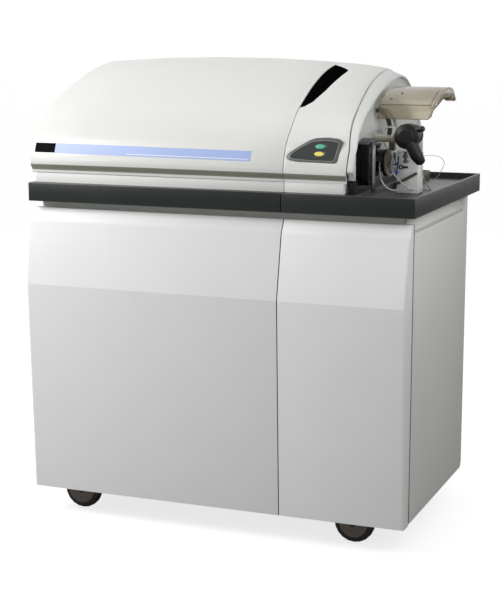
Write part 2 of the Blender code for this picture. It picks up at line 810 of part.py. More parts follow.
def frame_pieces():
    """Tubes, caster plates and door tongues of the welded frame."""
    left, right = frame_sides()
    near, far = FRONT + FRAME_FRONT, FRONT + FRAME_BACK
    base, top = FRAME_BOTTOM, NECK_BOTTOM - SEAT
    mid = SEAM_X - TUBE / 2
    for x in (left, right - TUBE):
        yield square_box("side_rail_low", x, x + TUBE, near, far, base, base + TUBE)
        yield square_box("side_rail_high", x, x + TUBE, near, far, top - TUBE, top)
        for y in (near, far - TUBE):
            yield square_box("post", x, x + TUBE, y, y + TUBE, base, top)
    for y in (near, far - TUBE):
        yield square_box("cross_rail_high", left, right, y, y + TUBE, top - TUBE, top)
    yield square_box("cross_rail_low", left, right, far - TUBE, far, base, base + TUBE)
    yield square_box("middle_post", mid, mid + TUBE, near, near + TUBE, base, top)
    yield square_box("middle_rail", mid, mid + TUBE, near, far, base, base + TUBE)
    for x in (-CASTER_X, CASTER_X):
        half = CASTER_RAIL / 2
        yield square_box("caster_rail", x - half, x + half, near, far, base, base + TUBE)
        for y in (FRONT + CASTER_FRONT, FRONT + CASTER_REAR):
            half = CASTER_PLATE_WIDE / 2
            yield square_box("caster_plate", x - half, x + half, y - half, y + half,
                             base - CASTER_PLATE, base + PAN_THICK)
    yield square_box("pan", left, right, near, far, base + TUBE - PAN_THICK, base + TUBE)
    for x, y, way in door_pivots():
        reach = x + way * (TONGUE_START + TONGUE_WIDE)
        for z, pin_way in ((DOOR_LOWER_PIN_Z, 1), (DOOR_UPPER_PIN_Z, -1)):
            z0, z1 = (z - TONGUE_HIGH, z) if pin_way > 0 else (z, z + TONGUE_HIGH)
            yield square_box("tongue_arm", x + way * TONGUE_START, reach, y - TONGUE_FRONT, near + TUBE / 2,
                             z0, z1)
            yield square_box("tongue", x - way * TONGUE_END, reach, y - TONGUE_FRONT, y + TONGUE_REAR,
                             z0, z1)
            ends = sorted((z - pin_way * TONGUE_HIGH / 2, z + pin_way * DOOR_PIN_LONG))
            yield rod("door_pin", DOOR_PIN, (x, y, 0), "Z", ends[0], ends[1], SMALL_STEPS)
        yield square_box("post_foot", left if way > 0 else right - TUBE, left + TUBE if way > 0 else right,
                         near, near + TUBE, DOOR_LOWER_PIN_Z - TONGUE_HIGH, base + TUBE / 2)


def make_frame():
    left, right = frame_sides()
    near = FRONT + FRAME_FRONT
    frame = box("chassis_frame", (left, near, FRAME_BOTTOM), (right, near + TUBE, FRAME_BOTTOM + TUBE))
    fuse(frame, *frame_pieces())
    for x in (-CASTER_X, CASTER_X):
        for y in (FRONT + CASTER_FRONT, FRONT + CASTER_REAR):
            cut(frame, rod("kingpin_hole", KINGPIN_R + PIN_PLAY, (x, y, 0), "Z",
                           FRAME_BOTTOM - CASTER_PLATE - CUT_RUN, FRAME_BOTTOM + KINGPIN_LONG - KINGPIN_R,
                           SMALL_STEPS))
    merge_flats(frame)
    give_finish(frame, (0.42, 0.43, 0.42), 0.5, 0.3)


def door_outline(back):
    """The door's section: leaning out to its break line, leaning back above it, with a rounded shoulder."""
    return [(FRONT + back, DOOR_BOTTOM), (FRONT - DOOR_FOOT_PROUD, DOOR_BOTTOM),
            (FRONT - DOOR_PROUD, DOOR_BREAK),
            (FRONT + DOOR_SHOULDER_SET, DOOR_SHOULDER),
            (FRONT + DOOR_SHOULDER_SET + DOOR_ROUND_SET, DOOR_SHOULDER + DOOR_ROUND_RISE),
            (FRONT + DOOR_SHOULDER_SET + 3 * DOOR_ROUND_SET, DOOR_SHOULDER + 2 * DOOR_ROUND_RISE),
            (FRONT + DOOR_TOP_SET, DOOR_TOP), (FRONT + back, DOOR_TOP)]


def door_hollow():
    """The inside of the door pan, open at its back and bottom."""
    wall = DOOR_WALL
    back = FRONT + DOOR_BACK + CUT_RUN
    return [(back, DOOR_BOTTOM - CUT_RUN), (FRONT - DOOR_FOOT_PROUD + wall, DOOR_BOTTOM - CUT_RUN),
            (FRONT - DOOR_FOOT_PROUD + wall, DOOR_BOTTOM), (FRONT - DOOR_PROUD + wall, DOOR_BREAK),
            (FRONT + DOOR_SHOULDER_SET + wall, DOOR_SHOULDER - wall),
            (FRONT + DOOR_SHOULDER_SET + 3 * DOOR_ROUND_SET + wall,
             DOOR_SHOULDER + 2 * DOOR_ROUND_RISE - wall),
            (FRONT + DOOR_TOP_SET + wall, DOOR_TOP - wall), (back, DOOR_TOP - wall)]


def door_face(z):
    """How far forward the door's skin is at a height."""
    line = door_outline(DOOR_BACK)[1:-1]
    for low, high in zip(line, line[1:]):
        if low[1] <= z <= high[1]:
            return low[0] + (high[0] - low[0]) * (z - low[1]) / (high[1] - low[1])
    return line[-1][0]


def make_door(name, x0, x1, axis):
    door = prism(name, door_outline(DOOR_BACK), "X", x0, x1)
    cut(door, prism(name + "_hollow", door_hollow(), "X", x0 + DOOR_WALL, x1 - DOOR_WALL))
    x, y, way = axis
    hinge_face = x - way * (DOOR_PIVOT_IN - DOOR_WALL / 2)
    for z, pin_way in ((DOOR_LOWER_PIN_Z, 1), (DOOR_UPPER_PIN_Z, -1)):
        z0, z1 = sorted((z + pin_way * SEAT, z + pin_way * DOOR_BLOCK_HIGH))
        near = max(door_face(z0), door_face(z1)) + DOOR_WALL / 6
        fuse(door, square_box(name + "_block", hinge_face, x + way * DOOR_BLOCK_OUT,
                              near, FRONT + DOOR_PIVOT_SET + DOOR_BLOCK_OUT, z0, z1))
        cut(door, rod(name + "_pin_hole", DOOR_PIN + PIN_PLAY, (x, y, 0), "Z",
                      z0 - DOOR_WALL, z1 - DOOR_WALL if pin_way > 0 else z1 + DOOR_WALL, SMALL_STEPS))
    merge_flats(door)
    give_finish(door, (0.60, 0.61, 0.60), 0.45, 0.0)
    return carry(pivot(name + "_axis", (x, y, 0)), door)


def make_doors():
    left_axis, right_axis = door_pivots()
    make_door("left_door", DOOR_LEFT, SEAM_X - DOOR_GAP / 2, left_axis)
    make_door("right_door", SEAM_X + DOOR_GAP / 2, DOOR_RIGHT, right_axis)


def make_side_panel(name, outer, way):
    """A pressed side panel with a long finger grip under the worktop. way points inwards."""
    near, far = FRONT + SIDE_FRONT, FRONT + SIDE_BACK
    top = TOP_UNDER - SEAT
    outline = [(near, DOOR_BOTTOM), (far - SIDE_NOTCH_RUN, DOOR_BOTTOM), (far, DOOR_BOTTOM + SIDE_NOTCH_RISE),
               (far, top), (near, top)]
    inner = outer + way * SIDE_THICK
    panel = prism(name, outline, "X", min(outer, inner), max(outer, inner))
    wall = SIDE_WALL
    cut(panel, square_box(name + "_hollow", outer + way * wall, inner + way * CUT_RUN, near + wall,
                          far - wall * 4,
                          DOOR_BOTTOM + SIDE_NOTCH_RISE, GRIP_BOTTOM - wall))
    grip_top = GRIP_BOTTOM + GRIP_DEEP
    end = FRONT + GRIP_END
    grip = [(near - CUT_RUN, GRIP_BOTTOM), (end - GRIP_DEEP, GRIP_BOTTOM),
            (end - GRIP_DEEP / 4, GRIP_BOTTOM + GRIP_DEEP / 4),
            (end, grip_top), (end, top + CUT_RUN), (near - CUT_RUN, top + CUT_RUN)]
    ends = sorted((outer - way * CUT_RUN, outer + way * GRIP_DEEP))
    cut(panel, prism(name + "_grip", grip, "X", ends[0], ends[1]))
    give_finish(panel, (0.42, 0.42, 0.39), 0.5, 0.0)


def make_side_panels():
    make_side_panel("left_side_panel", DOOR_LEFT + SIDE_IN, 1)
    make_side_panel("right_side_panel", DOOR_RIGHT - SIDE_IN, -1)


def make_rear_panel():
    left, right = frame_sides()
    y = FRONT + FRAME_BACK + SEAT
    panel = box("rear_panel", (left, y, REAR_BOTTOM), (right, y + REAR_SHEET, NECK_BOTTOM - SEAT))
    for side in (-1, 1):
        for i in range(LOUVRE_COUNT):
            z = LOUVRE_LOW + i * LOUVRE_PITCH
            x = side * LOUVRE_X
            cut(panel, box("louvre", (x - LOUVRE_WIDE / 2, y - CUT_RUN, z),
                           (x + LOUVRE_WIDE / 2, y + CUT_RUN, z + LOUVRE_HIGH)))
    half_wide, half_high = INLET_WIDE / 2 - INLET_LIP, INLET_HIGH / 2 - INLET_LIP
    cut(panel, box("inlet_hole", (INLET_X - half_wide, y - CUT_RUN, INLET_Z - half_high),
                   (INLET_X + half_wide, y + CUT_RUN, INLET_Z + half_high)))
    for i in range(2):
        place = (PORT_X + i * PORT_PITCH, 0, PORT_Z)
        flange = y + REAR_SHEET + PORT_R / 3
        tube = y + REAR_SHEET + PORT_R * 2
        profile = [(0, y + REAR_SHEET / 2), (PORT_R * 1.4, y + REAR_SHEET / 2), (PORT_R * 1.4, flange),
                   (PORT_R, flange),
                   (PORT_R, tube - PORT_R / 4), (PORT_R * 1.25, tube - PORT_R / 4), (PORT_R * 1.25, tube),
                   (0, tube)]
        fuse(panel, turned("foreline_port", profile, place, "Y", SMALL_STEPS))
        cut(panel, rod("foreline_bore", PORT_R * 0.8, place, "Y", y - CUT_RUN, tube + CUT_RUN, SMALL_STEPS))
    merge_flats(panel)
    give_finish(panel, (0.50, 0.51, 0.50), 0.5, 0.1)


# Casters

def make_caster(name, x, y):
    head_top = FRAME_BOTTOM - CASTER_PLATE - SEAT
    head_low = head_top - FORK_HEAD_HIGH
    axle_x = x - CASTER_TRAIL
    inside = HUB_WIDE / 2 + FORK_GAP
    outside = inside + FORK_PLATE
    fork = turned(name + "_fork", [(0, head_low), (FORK_HEAD_R, head_low), (FORK_HEAD_R, head_top),
                                   (0, head_top)], (x, y, 0), "Z", MID_STEPS)
    crown = box(name + "_crown", (axle_x - FORK_TIP_R / 2, y - outside, head_low - FORK_CROWN),
                (x + FORK_HEAD_R * 0.8, y + outside, head_low + SEAT))
    fuse(fork, crown)
    tip = WHEEL_R
    leg = [(x + FORK_HEAD_R * 0.8, head_low), (axle_x - FORK_TIP_R, head_low)]
    for k in range(5):
        a = math.radians(180 + 45 * k)
        leg.append((axle_x + FORK_TIP_R * math.cos(a), tip + FORK_TIP_R * math.sin(a)))
    leg.append((x + FORK_HEAD_R * 0.5, head_low - FORK_TIP_R * 2))
    for side in (-1, 1):
        ends = sorted((y + side * inside, y + side * outside))
        fuse(fork, prism(name + "_leg", leg, "Y", ends[0], ends[1]))
    fuse(fork, rod(name + "_kingpin", KINGPIN_R, (x, y, 0), "Z", head_low, FRAME_BOTTOM + KINGPIN_LONG / 2,
                   SMALL_STEPS))
    fuse(fork, rod(name + "_axle", AXLE_R, (axle_x, 0, tip), "Y", y - outside - FORK_PLATE,
                   y + outside + FORK_PLATE, FEW_STEPS))
    merge_flats(fork)
    give_finish(fork, (0.30, 0.30, 0.30), 0.4, 0.9)
    bore = AXLE_R + PIN_PLAY
    half, hub = WHEEL_WIDE / 2, HUB_WIDE / 2
    profile = [(bore, -hub), (HUB_R / 3, -hub), (HUB_R, HUB_DISH - half), (WHEEL_R - TYRE_ROUND, -half),
               (WHEEL_R, -half + TYRE_ROUND * 1.5)]
    profile = profile + [(r, -d) for r, d in reversed(profile)]
    wheel = turned(name + "_wheel", profile, (axle_x, y, tip), "Y", phase=0)
    give_finish(wheel, (0.020, 0.018, 0.017), 0.6, 0.0)
    swivel = pivot(name + "_swivel_axis", (x, y, 0))
    carry(swivel, fork)
    spin = pivot(name + "_wheel_axis", (axle_x, y, tip))
    carry(swivel, spin)
    wheel.parent = spin
    wheel.matrix_parent_inverse = Matrix.Translation((-axle_x, -y, -tip))


def make_casters():
    for side, x in (("left", -CASTER_X), ("right", CASTER_X)):
        for end, y in (("front", CASTER_FRONT), ("rear", CASTER_REAR)):
            make_caster(end + "_" + side, x, FRONT + y)


# Hoods

def lean_at(z, share, start=LEAN_Z):
    """How far an end face has leaned to the left at a height."""
    return share * max(0.0, z - start)


def wall_at(z):
    """Where the end panel's wall stands at a height."""
    return END_WALL - lean_at(z, WALL_LEAN_SHARE, WALL_LEAN_Z)


def hood_height(x, v, lean=0.0):
    """Height of the hoods' surface at a share of their rise, on a station that leans to the left."""
    z = HOOD_BOTTOM
    for _ in range(LEAN_ROUNDS if lean else 1):
        place = x - lean_at(z, lean)
        run = max(0.0, (place - END_FALL_X) / (END_RIM - END_FALL_X))
        z = HOOD_BOTTOM + v * (HOOD_RISE - CROWN_FALL * (place - CROWN_X) ** 2) - END_FALL * (v * run) ** 2
    return z


def hood_section(x, inset=0.0, samples=HOOD_SAMPLES, lean=0.0):
    """The hood's outer section at a station, from its front foot over the top to its back foot."""
    deep = HOOD_BACK_SET - HOOD_FRONT_SET
    near = FRONT + HOOD_FRONT_SET
    points = [Vector((near + u * deep, hood_height(x, v, lean))) for u, v in HOOD_FRONT_SHARES]
    points = smooth_route(points, samples)
    return offset_inward(points, inset) if inset else points


def offset_inward(points, distance):
    """Moves an open outline, read front to back over the top, towards its inside."""
    moved = []
    for i, point in enumerate(points):
        before = point - points[i - 1] if i else points[1] - point
        after = points[i + 1] - point if i < len(points) - 1 else before
        ways = [Vector((d.y, -d.x)).normalized() for d in (before, after)]
        mean = (ways[0] + ways[1]).normalized()
        moved.append(point + mean * distance / max(0.5, mean.dot(ways[0])))
    return moved


def loft(name, sections, stations):
    """Joins like outlines at stations along X into one solid."""
    count = len(sections[0])
    points = [(x, p[0], p[1]) for x, section in zip(stations, sections) for p in section]
    faces = [tuple(range(count)), tuple(range(len(points) - 1, len(points) - count - 1, -1))]
    for s in range(len(stations) - 1):
        for i in range(count):
            j = (i + 1) % count
            faces.append((s * count + i, s * count + j, (s + 1) * count + j, (s + 1) * count + i))
    return solid(name, points, faces, smooth=True)


def hood_core_section(x):
    """The space under a hood, behind the lip at its front foot."""
    inner = hood_section(x, HOOD_WALL, 1)
    lip_back = FRONT + HOOD_LIP_BACK
    lip_top = HOOD_BOTTOM + HOOD_LIP
    wall = [p for p in inner if p.y > lip_top]
    first, last = wall[0], inner[-1]
    below = HOOD_BOTTOM - CUT_RUN
    return [(lip_back, below), (lip_back, lip_top),
            (first.x, lip_top)] + [(p.x, p.y) for p in wall] + [(last.x, below)]


def make_hood_shell(name, x0, x1, end_wall):
    stations = [x0 + (x1 - x0) * share for share in HOOD_STATION_SHARES]
    hood = loft(name, [[tuple(p) for p in hood_section(x)] for x in stations], stations)
    core_stations = [x0 + HOOD_WALL if end_wall else x0 - CUT_RUN] + stations[1:-1] + [x1 + CUT_RUN]
    core = loft(name + "_core", [hood_core_section(x) for x in core_stations], core_stations)
    return cut(hood, core)


def leaning_end(name, x, far, share, start, foot):
    """A cutter for what lies beyond an end plane that leans to the left above a height."""
    top = HOOD_BOTTOM + HOOD_RISE + CUT_RUN
    outline = [(far, foot), (far, top), (x - lean_at(top, share, start), top), (x, start)]
    if foot < start:
        outline.append((x, foot))
    low, high = FRONT + HOOD_FRONT_SET - CUT_RUN, FRONT + HOOD_BACK_SET + CUT_RUN
    return prism(name, outline, "Y", low, high)


def right_shell(name):
    """A shell from the leaning seam to the right hood's end."""
    seam_right = SEAM_X + SEAM_GAP / 2
    shell = make_hood_shell(name, seam_right - SEAM_REACH, HOOD_RIGHT, False)
    return cut(shell, leaning_end(name + "_seam", seam_right, seam_right - SEAM_REACH - CUT_RUN,
                                  SEAM_LEAN_SHARE,
                                  SEAM_LEAN_Z, HOOD_BOTTOM - CUT_RUN))


def hinge_eye(name, x0, x1, extra):
    """A round eye on the hinge line with a root that runs forward or down."""
    y, z, r = FRONT + HINGE_BACK, HINGE_Z, HINGE_EYE_R
    outline = [(y + r * math.cos(math.radians(a)), z + r * math.sin(math.radians(a))) for a in extra["arc"]]
    return prism(name, outline + extra["root"], "X", x0, x1)


def lug_shape():
    """An eye that reaches forward to the hood's back wall."""
    wall_y = FRONT + HOOD_BACK_SET - HOOD_WALL / 2
    r = HINGE_EYE_R
    return {"arc": [-90 + 45 * k for k in range(5)],
            "root": [(wall_y, HINGE_Z + r), (wall_y, HINGE_Z - r)]}


def ear_shape():
    """An eye that stands on the worktop behind the plinth."""
    y, r = FRONT + HINGE_BACK, HINGE_EYE_R
    foot = TOP_HEIGHT + SEAT
    root = FRONT + PLINTH_BACK - PLINTH_WALL / 4
    return {"arc": [45 * k for k in range(5)],
            "root": [(y - r, TOP_HEIGHT + HINGE_BASE), (root, TOP_HEIGHT + HINGE_BASE), (root, foot),
                     (y + r, foot)]}


def lug_places(x0, x1, shares):
    return [x0 + (x1 - x0) * share for share in shares]


def add_lugs(hood, x0, x1, shares):
    for x in lug_places(x0, x1, shares):
        fuse(hood, hinge_eye(hood.name + "_lug", x - HINGE_LUG / 2, x + HINGE_LUG / 2, lug_shape()))
    cut(hood, rod(hood.name + "_eye_bore", HINGE_ROD_R + PIN_PLAY, (0, FRONT + HINGE_BACK, HINGE_Z), "X",
                  x0 - CUT_RUN, x1 + CUT_RUN, SMALL_STEPS))


def add_ears(plinth, x0, x1, shares):
    """Fixed ears on both sides of each lug, and the rod that runs through them."""
    places = lug_places(x0, x1, shares)
    for x in places:
        for way in (-1, 1):
            ends = sorted((x + way * (HINGE_LUG / 2 + SEAT), x + way * (HINGE_LUG / 2 + SEAT + HINGE_EAR)))
            fuse(plinth, hinge_eye(plinth.name + "_ear", ends[0], ends[1], ear_shape()))
    reach = HINGE_LUG / 2 + SEAT + HINGE_EAR / 2
    fuse(plinth, rod(plinth.name + "_rod", HINGE_ROD_R, (0, FRONT + HINGE_BACK, HINGE_Z), "X",
                     places[0] - reach, places[-1] + reach, SMALL_STEPS))


def mitred(name, section, corners):
    """Carries an upright section of (inset, height) round an open run of square corners."""
    points = []
    for i, corner in enumerate(corners):
        ways = [(Vector(q) - Vector(p)).normalized() for p, q in zip(corners, corners[1:])]
        near = [ways[k] for k in (i - 1, i) if 0 <= k < len(ways)]
        inward = sum((Vector((-w.y, w.x)) for w in near), Vector((0, 0)))
        points += [(corner[0] + inward.x * u, corner[1] + inward.y * u, z) for u, z in section]
    count = len(section)
    faces = [tuple(range(count)), tuple(range(len(points) - 1, len(points) - count - 1, -1))]
    for s in range(len(corners) - 1):
        for i in range(count):
            j = (i + 1) % count
            faces.append((s * count + i, s * count + j, (s + 1) * count + j, (s + 1) * count + i))
    return solid(name, points, faces)


def make_plinth(name, x0, x1, open_right):
    """A low wall on the worktop, open towards the other plinth, with a ledge that the hood's lip rests on."""
    near, far = FRONT + PLINTH_FRONT, FRONT + PLINTH_BACK
    base, ledge = TOP_HEIGHT + SEAT, HOOD_BOTTOM - SEAT
    section = [(0.0, base), (0.0, PLINTH_TOP), (PLINTH_STEP, PLINTH_TOP), (PLINTH_STEP, ledge),
               (PLINTH_WALL, ledge),
               (PLINTH_WALL, base)]
    if open_right:
        corners = [(x1, far), (x0, far), (x0, near), (x1, near)]
    else:
        corners = [(x0, near), (x1, near), (x1, far), (x0, far)]
    return mitred(name, section, corners)


def make_hoods():
    seam_left, seam_right = SEAM_X - SEAM_GAP / 2, SEAM_X + SEAM_GAP / 2
    left_plinth = make_plinth("left_plinth", PLINTH_LEFT, seam_left, True)
    right_plinth = make_plinth("right_plinth", seam_right, PLINTH_RIGHT, False)
    add_ears(left_plinth, LEFT, seam_left, LEFT_LUG_SHARES)
    add_ears(right_plinth, seam_right, HOOD_RIGHT, RIGHT_LUG_SHARES)
    for plinth in (left_plinth, right_plinth):
        merge_flats(plinth)
        give_finish(plinth, (0.62, 0.62, 0.60), 0.45, 0.0)
    left = make_hood_shell("left_hood", LEFT, seam_left, True)
    cut(left, leaning_end("left_hood_seam", seam_left, seam_left + CUT_RUN, SEAM_LEAN_SHARE, SEAM_LEAN_Z,
                          SEAM_LEAN_Z))
    right = right_shell("right_hood")
    cut(right, leaning_end("right_hood_end", HOOD_RIGHT, HOOD_RIGHT + CUT_RUN, END_LEAN_SHARE, LEAN_Z,
                           LEAN_Z))
    add_lugs(left, LEFT, seam_left, LEFT_LUG_SHARES)
    add_lugs(right, seam_right, HOOD_RIGHT, RIGHT_LUG_SHARES)
    for hood in (left, right):
        give_finish(hood, (0.75, 0.75, 0.72), 0.35, 0.0)
    axis = FRONT + HINGE_BACK
    carry(pivot("left_hood_axis", (0, axis, HINGE_Z)), left)
    right_axis = pivot("right_hood_axis", (0, axis, HINGE_Z))
    carry(right_axis, right)
    make_window(right, right_axis)
    make_bezel(right, right_axis)


def grown(outline, distance):
    """A closed outline, drawn counter-clockwise, with its edges moved out by a distance."""
    points = [Vector(p) for p in outline]
    moved = []
    for i, point in enumerate(points):
        before = (point - points[i - 1]).normalized()
        after = (points[(i + 1) % len(points)] - point).normalized()
        ways = [Vector((d.y, -d.x)) for d in (before, after)]
        mean = (ways[0] + ways[1]).normalized()
        moved.append(tuple(point + mean * distance / max(HALF_STEP, mean.dot(ways[0]))))
    return moved


def window_outline():
    """The window seen from above, a dart whose long side lies on the seam between the hoods."""
    wide = WINDOW_RIGHT - SEAM_X - SEAM_GAP / 2
    deep = WINDOW_BACK_SET - WINDOW_TIP_SET
    return [(SEAM_X + SEAM_GAP / 2 + u * wide, FRONT + WINDOW_TIP_SET + v * deep) for u, v in WINDOW_SHARES]


def make_window(hood, axis):
    low, high = HOOD_BOTTOM, HOOD_BOTTOM + HOOD_RISE + CUT_RUN
    pane = right_shell("viewing_window")
    boolean(pane, prism("window_shape", window_outline(), "Z", low, high), "INTERSECT")
    cut(hood, prism("window_hole", grown(window_outline(), WINDOW_GAP), "Z", low, high))
    give_finish(pane, (0.004, 0.004, 0.004), 0.12, 0.0)
    carry(axis, pane)


def bezel_frame():
    """Origin, up and outward directions of the bezel's sloping plane."""
    low = Vector((0, FRONT + BEZEL_LOW_SET, BEZEL_LOW_Z))
    high = Vector((0, FRONT + BEZEL_HIGH_SET, BEZEL_HIGH_Z))
    up = (high - low).normalized()
    out = Vector((0, -up.z, up.y))
    return low, up, out, (high - low).length


def sloping_prism(name, outline, back, front):
    """Draws an outline, given across and up the bezel's plane, from back to front along its normal."""
    low, up, out, _ = bezel_frame()
    count = len(outline)
    points = []
    for depth in (back, front):
        points += [Vector((u, 0, 0)) + low + up * v + out * depth for u, v in outline]
    faces = [tuple(range(count)), tuple(range(2 * count - 1, count - 1, -1))]
    for i in range(count):
        j = (i + 1) % count
        faces.append((i, j, count + j, count + i))
    return solid(name, points, faces)


def oval(cx, cy, half_wide, half_high):
    return [(cx + half_wide * math.cos(2 * math.pi * k / BUTTON_SIDES),
             cy + half_high * math.sin(2 * math.pi * k / BUTTON_SIDES)) for k in range(BUTTON_SIDES)]


def make_bezel(hood, axis):
    high = bezel_frame()[3]
    outline = [(BEZEL_LEFT + u * BEZEL_WIDE, v * high) for u, v in BEZEL_SHARES]
    hole = grown(outline[::-1], SEAT)
    back = BEZEL_PROUD - BEZEL_THICK
    bezel = sloping_prism("control_bezel", outline, back, BEZEL_PROUD)
    cut(hood, sloping_prism("bezel_hole", hole, back - SEAT, BEZEL_PROUD + CUT_RUN))
    give_finish(bezel, (0.070, 0.072, 0.074), 0.4, 0.0)
    carry(axis, bezel)
    colours = {"green_button": (BUTTON_HIGH_SHARE, (0.115, 0.345, 0.191)),
               "yellow_button": (BUTTON_LOW_SHARE, (0.79, 0.69, 0.16))}
    for name, (share, colour) in colours.items():
        centre = share * high
        wide, tall = BUTTON_HALF_WIDE, BUTTON_HALF_HIGH
        button = sloping_prism(name, oval(BUTTON_X, centre, wide, tall),
                               BEZEL_PROUD + BUTTON_PROUD - BUTTON_THICK, BEZEL_PROUD + BUTTON_PROUD)
        cut(bezel, sloping_prism(name + "_well", oval(BUTTON_X, centre, wide + BUTTON_PLAY,
                                                      tall + BUTTON_PLAY),
                                 back + SEAT * 5, BEZEL_PROUD + CUT_RUN))
        give_finish(button, colour, 0.35, 0.0)
        low, up, out, _ = bezel_frame()
        place = Vector((BUTTON_X, 0, 0)) + low + up * centre
        press = pivot(name + "_axis", place)
        carry(press, button)
        carry(axis, press)


# End panel

def panel_section(x, share, inset=0.0):
    """The panel's outline at a station, drawn upright, with the heights of its leaning place."""
    points = [tuple(p) for p in hood_section(x, END_SET + inset, HOOD_SAMPLES, share)]
    return [(points[0][0], END_BOTTOM)] + points[1:-1] + [(points[-1][0], END_BOTTOM)]


def lean_over(panel):
    """Leans the finished panel to the left, more at its seam than at its rim, about level creases."""
    mesh = bmesh.new()
    mesh.from_object(panel, bpy.context.evaluated_depsgraph_get())
    panel.modifiers.clear()
    for z in (LEAN_Z, WALL_LEAN_Z):
        bmesh.ops.bisect_plane(mesh, geom=mesh.verts[:] + mesh.edges[:] + mesh.faces[:], plane_co=(0, 0, z),
                               plane_no=(0, 0, 1))
    for vert in mesh.verts:
        x, z = vert.co.x, vert.co.z
        seam, rim = lean_at(z, END_LEAN_SHARE), lean_at(z, RIM_LEAN_SHARE)
        wall = lean_at(z, WALL_LEAN_SHARE, WALL_LEAN_Z)
        if x < END_WALL:
            part = (x - END_LEFT) / (END_WALL - END_LEFT)
            vert.co.x -= seam + (wall - seam) * part
        else:
            part = (x - END_WALL) / (END_RIM - END_WALL)
            vert.co.x -= wall + (rim - wall) * part
    mesh.to_mesh(panel.data)
    mesh.free()


def make_end_panel():
    """A leaning band beside the hood, with an arched hollow towards the bay."""
    ends = ((END_LEFT, END_LEAN_SHARE), (END_RIM, RIM_LEAN_SHARE))
    panel = loft("end_panel", [panel_section(x, share) for x, share in ends], [x for x, _ in ends])
    near, far = FRONT + ARCH_NEAR, FRONT + ARCH_FAR
    rim = panel_section(END_RIM, RIM_LEAN_SHARE, ARCH_EDGE)
    line = [p for p in rim if near < p[0] < far and p[1] > LEAN_Z]
    below = HOOD_BOTTOM - CUT_RUN
    shoulder = line[0][1] - (line[0][0] - near)
    arch = [(near, below), (near, shoulder)] + line + [(far, line[-1][1]), (far, below)]
    cut(panel, prism("arch_hollow", arch, "X", END_WALL, END_RIM + CUT_RUN))
    cut(panel, rod("torch_hole", TORCH_HOLE_R, (0, FRONT + TORCH_SET, TORCH_Z), "X", END_LEFT - CUT_RUN,
                   END_RIM + CUT_RUN, MID_STEPS))
    lean_over(panel)
    give_finish(panel, (0.56, 0.57, 0.56), 0.45, 0.0)
    near, step, far = FRONT + END_RAIL_FRONT, FRONT + END_RAIL_STEP, FRONT + END_RAIL_BACK
    plan = [(END_LEFT, near), (END_RAIL_RIGHT, near), (END_RAIL_RIGHT, step), (END_WALL, step),
            (END_WALL, far), (END_LEFT, far)]
    rail = prism("end_rail", plan, "Z", TOP_HEIGHT + SEAT, END_BOTTOM - SEAT)
    give_finish(rail, (0.012, 0.012, 0.012), 0.5, 0.0)


# Visor

def visor_section(inset):
    deep = VISOR_HINGE_SET - VISOR_FRONT_SET
    rise = VISOR_TOP_Z - VISOR_FRONT_Z
    points = [Vector((FRONT + VISOR_FRONT_SET + u * deep, VISOR_FRONT_Z + v * rise)) for u, v in VISOR_SHARES]
    return offset_inward(points, inset) if inset else points


def below(line, reach):
    """The region under a line read front to back, with its ends run on past the shell's edges."""
    first = line[0] + (line[0] - line[1]).normalized() * reach
    last = line[-1] + (line[-1] - line[-2]).normalized() * reach
    deep = VISOR_FRONT_Z - VISOR_CHEEK - CUT_RUN
    return [(first.x, deep), tuple(first)] + [tuple(p) for p in line] + [tuple(last), (last.x, deep)]


def make_visor():
    """A curved shell with one turned-down cheek, carried by an eye at each end of its back edge."""
    visor = prism("visor", [tuple(p) for p in visor_section(0.0)], "X", VISOR_LEFT, VISOR_RIGHT, smooth=True)
    cheek = VISOR_RIGHT - VISOR_WALL
    cut(visor, prism("visor_core", below(visor_section(VISOR_WALL), CUT_RUN), "X", VISOR_LEFT - CUT_RUN,
                     cheek))
    cut(visor, prism("visor_cheek_cut", below(visor_section(VISOR_CHEEK)[3:-3], VISOR_CHEEK), "X",
                     cheek - CUT_RUN,
                     VISOR_RIGHT + CUT_RUN))
    y, z, r = FRONT + VISOR_HINGE_SET, VISOR_HINGE_Z, VISOR_EYE_R
    for x in (VISOR_LEFT, VISOR_RIGHT - VISOR_EYE):
        fuse(visor, rod("visor_eye", r, (0, y, z), "X", x + SEAT, x + VISOR_EYE - SEAT, SMALL_STEPS))
    cut(visor, rod("visor_bore", VISOR_ROD_R + PIN_PLAY, (0, y, z), "X", VISOR_LEFT - CUT_RUN,
                   VISOR_RIGHT + CUT_RUN,
                   SMALL_STEPS))
    merge_flats(visor)
    give_finish(visor, (0.40, 0.37, 0.31), 0.25, 0.0)
    carry(pivot("visor_axis", (0, y, z)), visor)
    tip = VISOR_RIGHT + VISOR_WALL
    flange = VISOR_EYE_R * 1.6
    foot = wall_at(z - flange) + SEAT
    plate = foot + VISOR_WALL
    profile = [(0, foot), (flange, foot), (flange, plate), (VISOR_ROD_R, plate), (VISOR_ROD_R, tip), (0, tip)]
    give_finish(turned("visor_rod", profile, (0, y, z), "X", SMALL_STEPS), (0.5, 0.5, 0.5), 0.3, 1.0)


# Sample bay

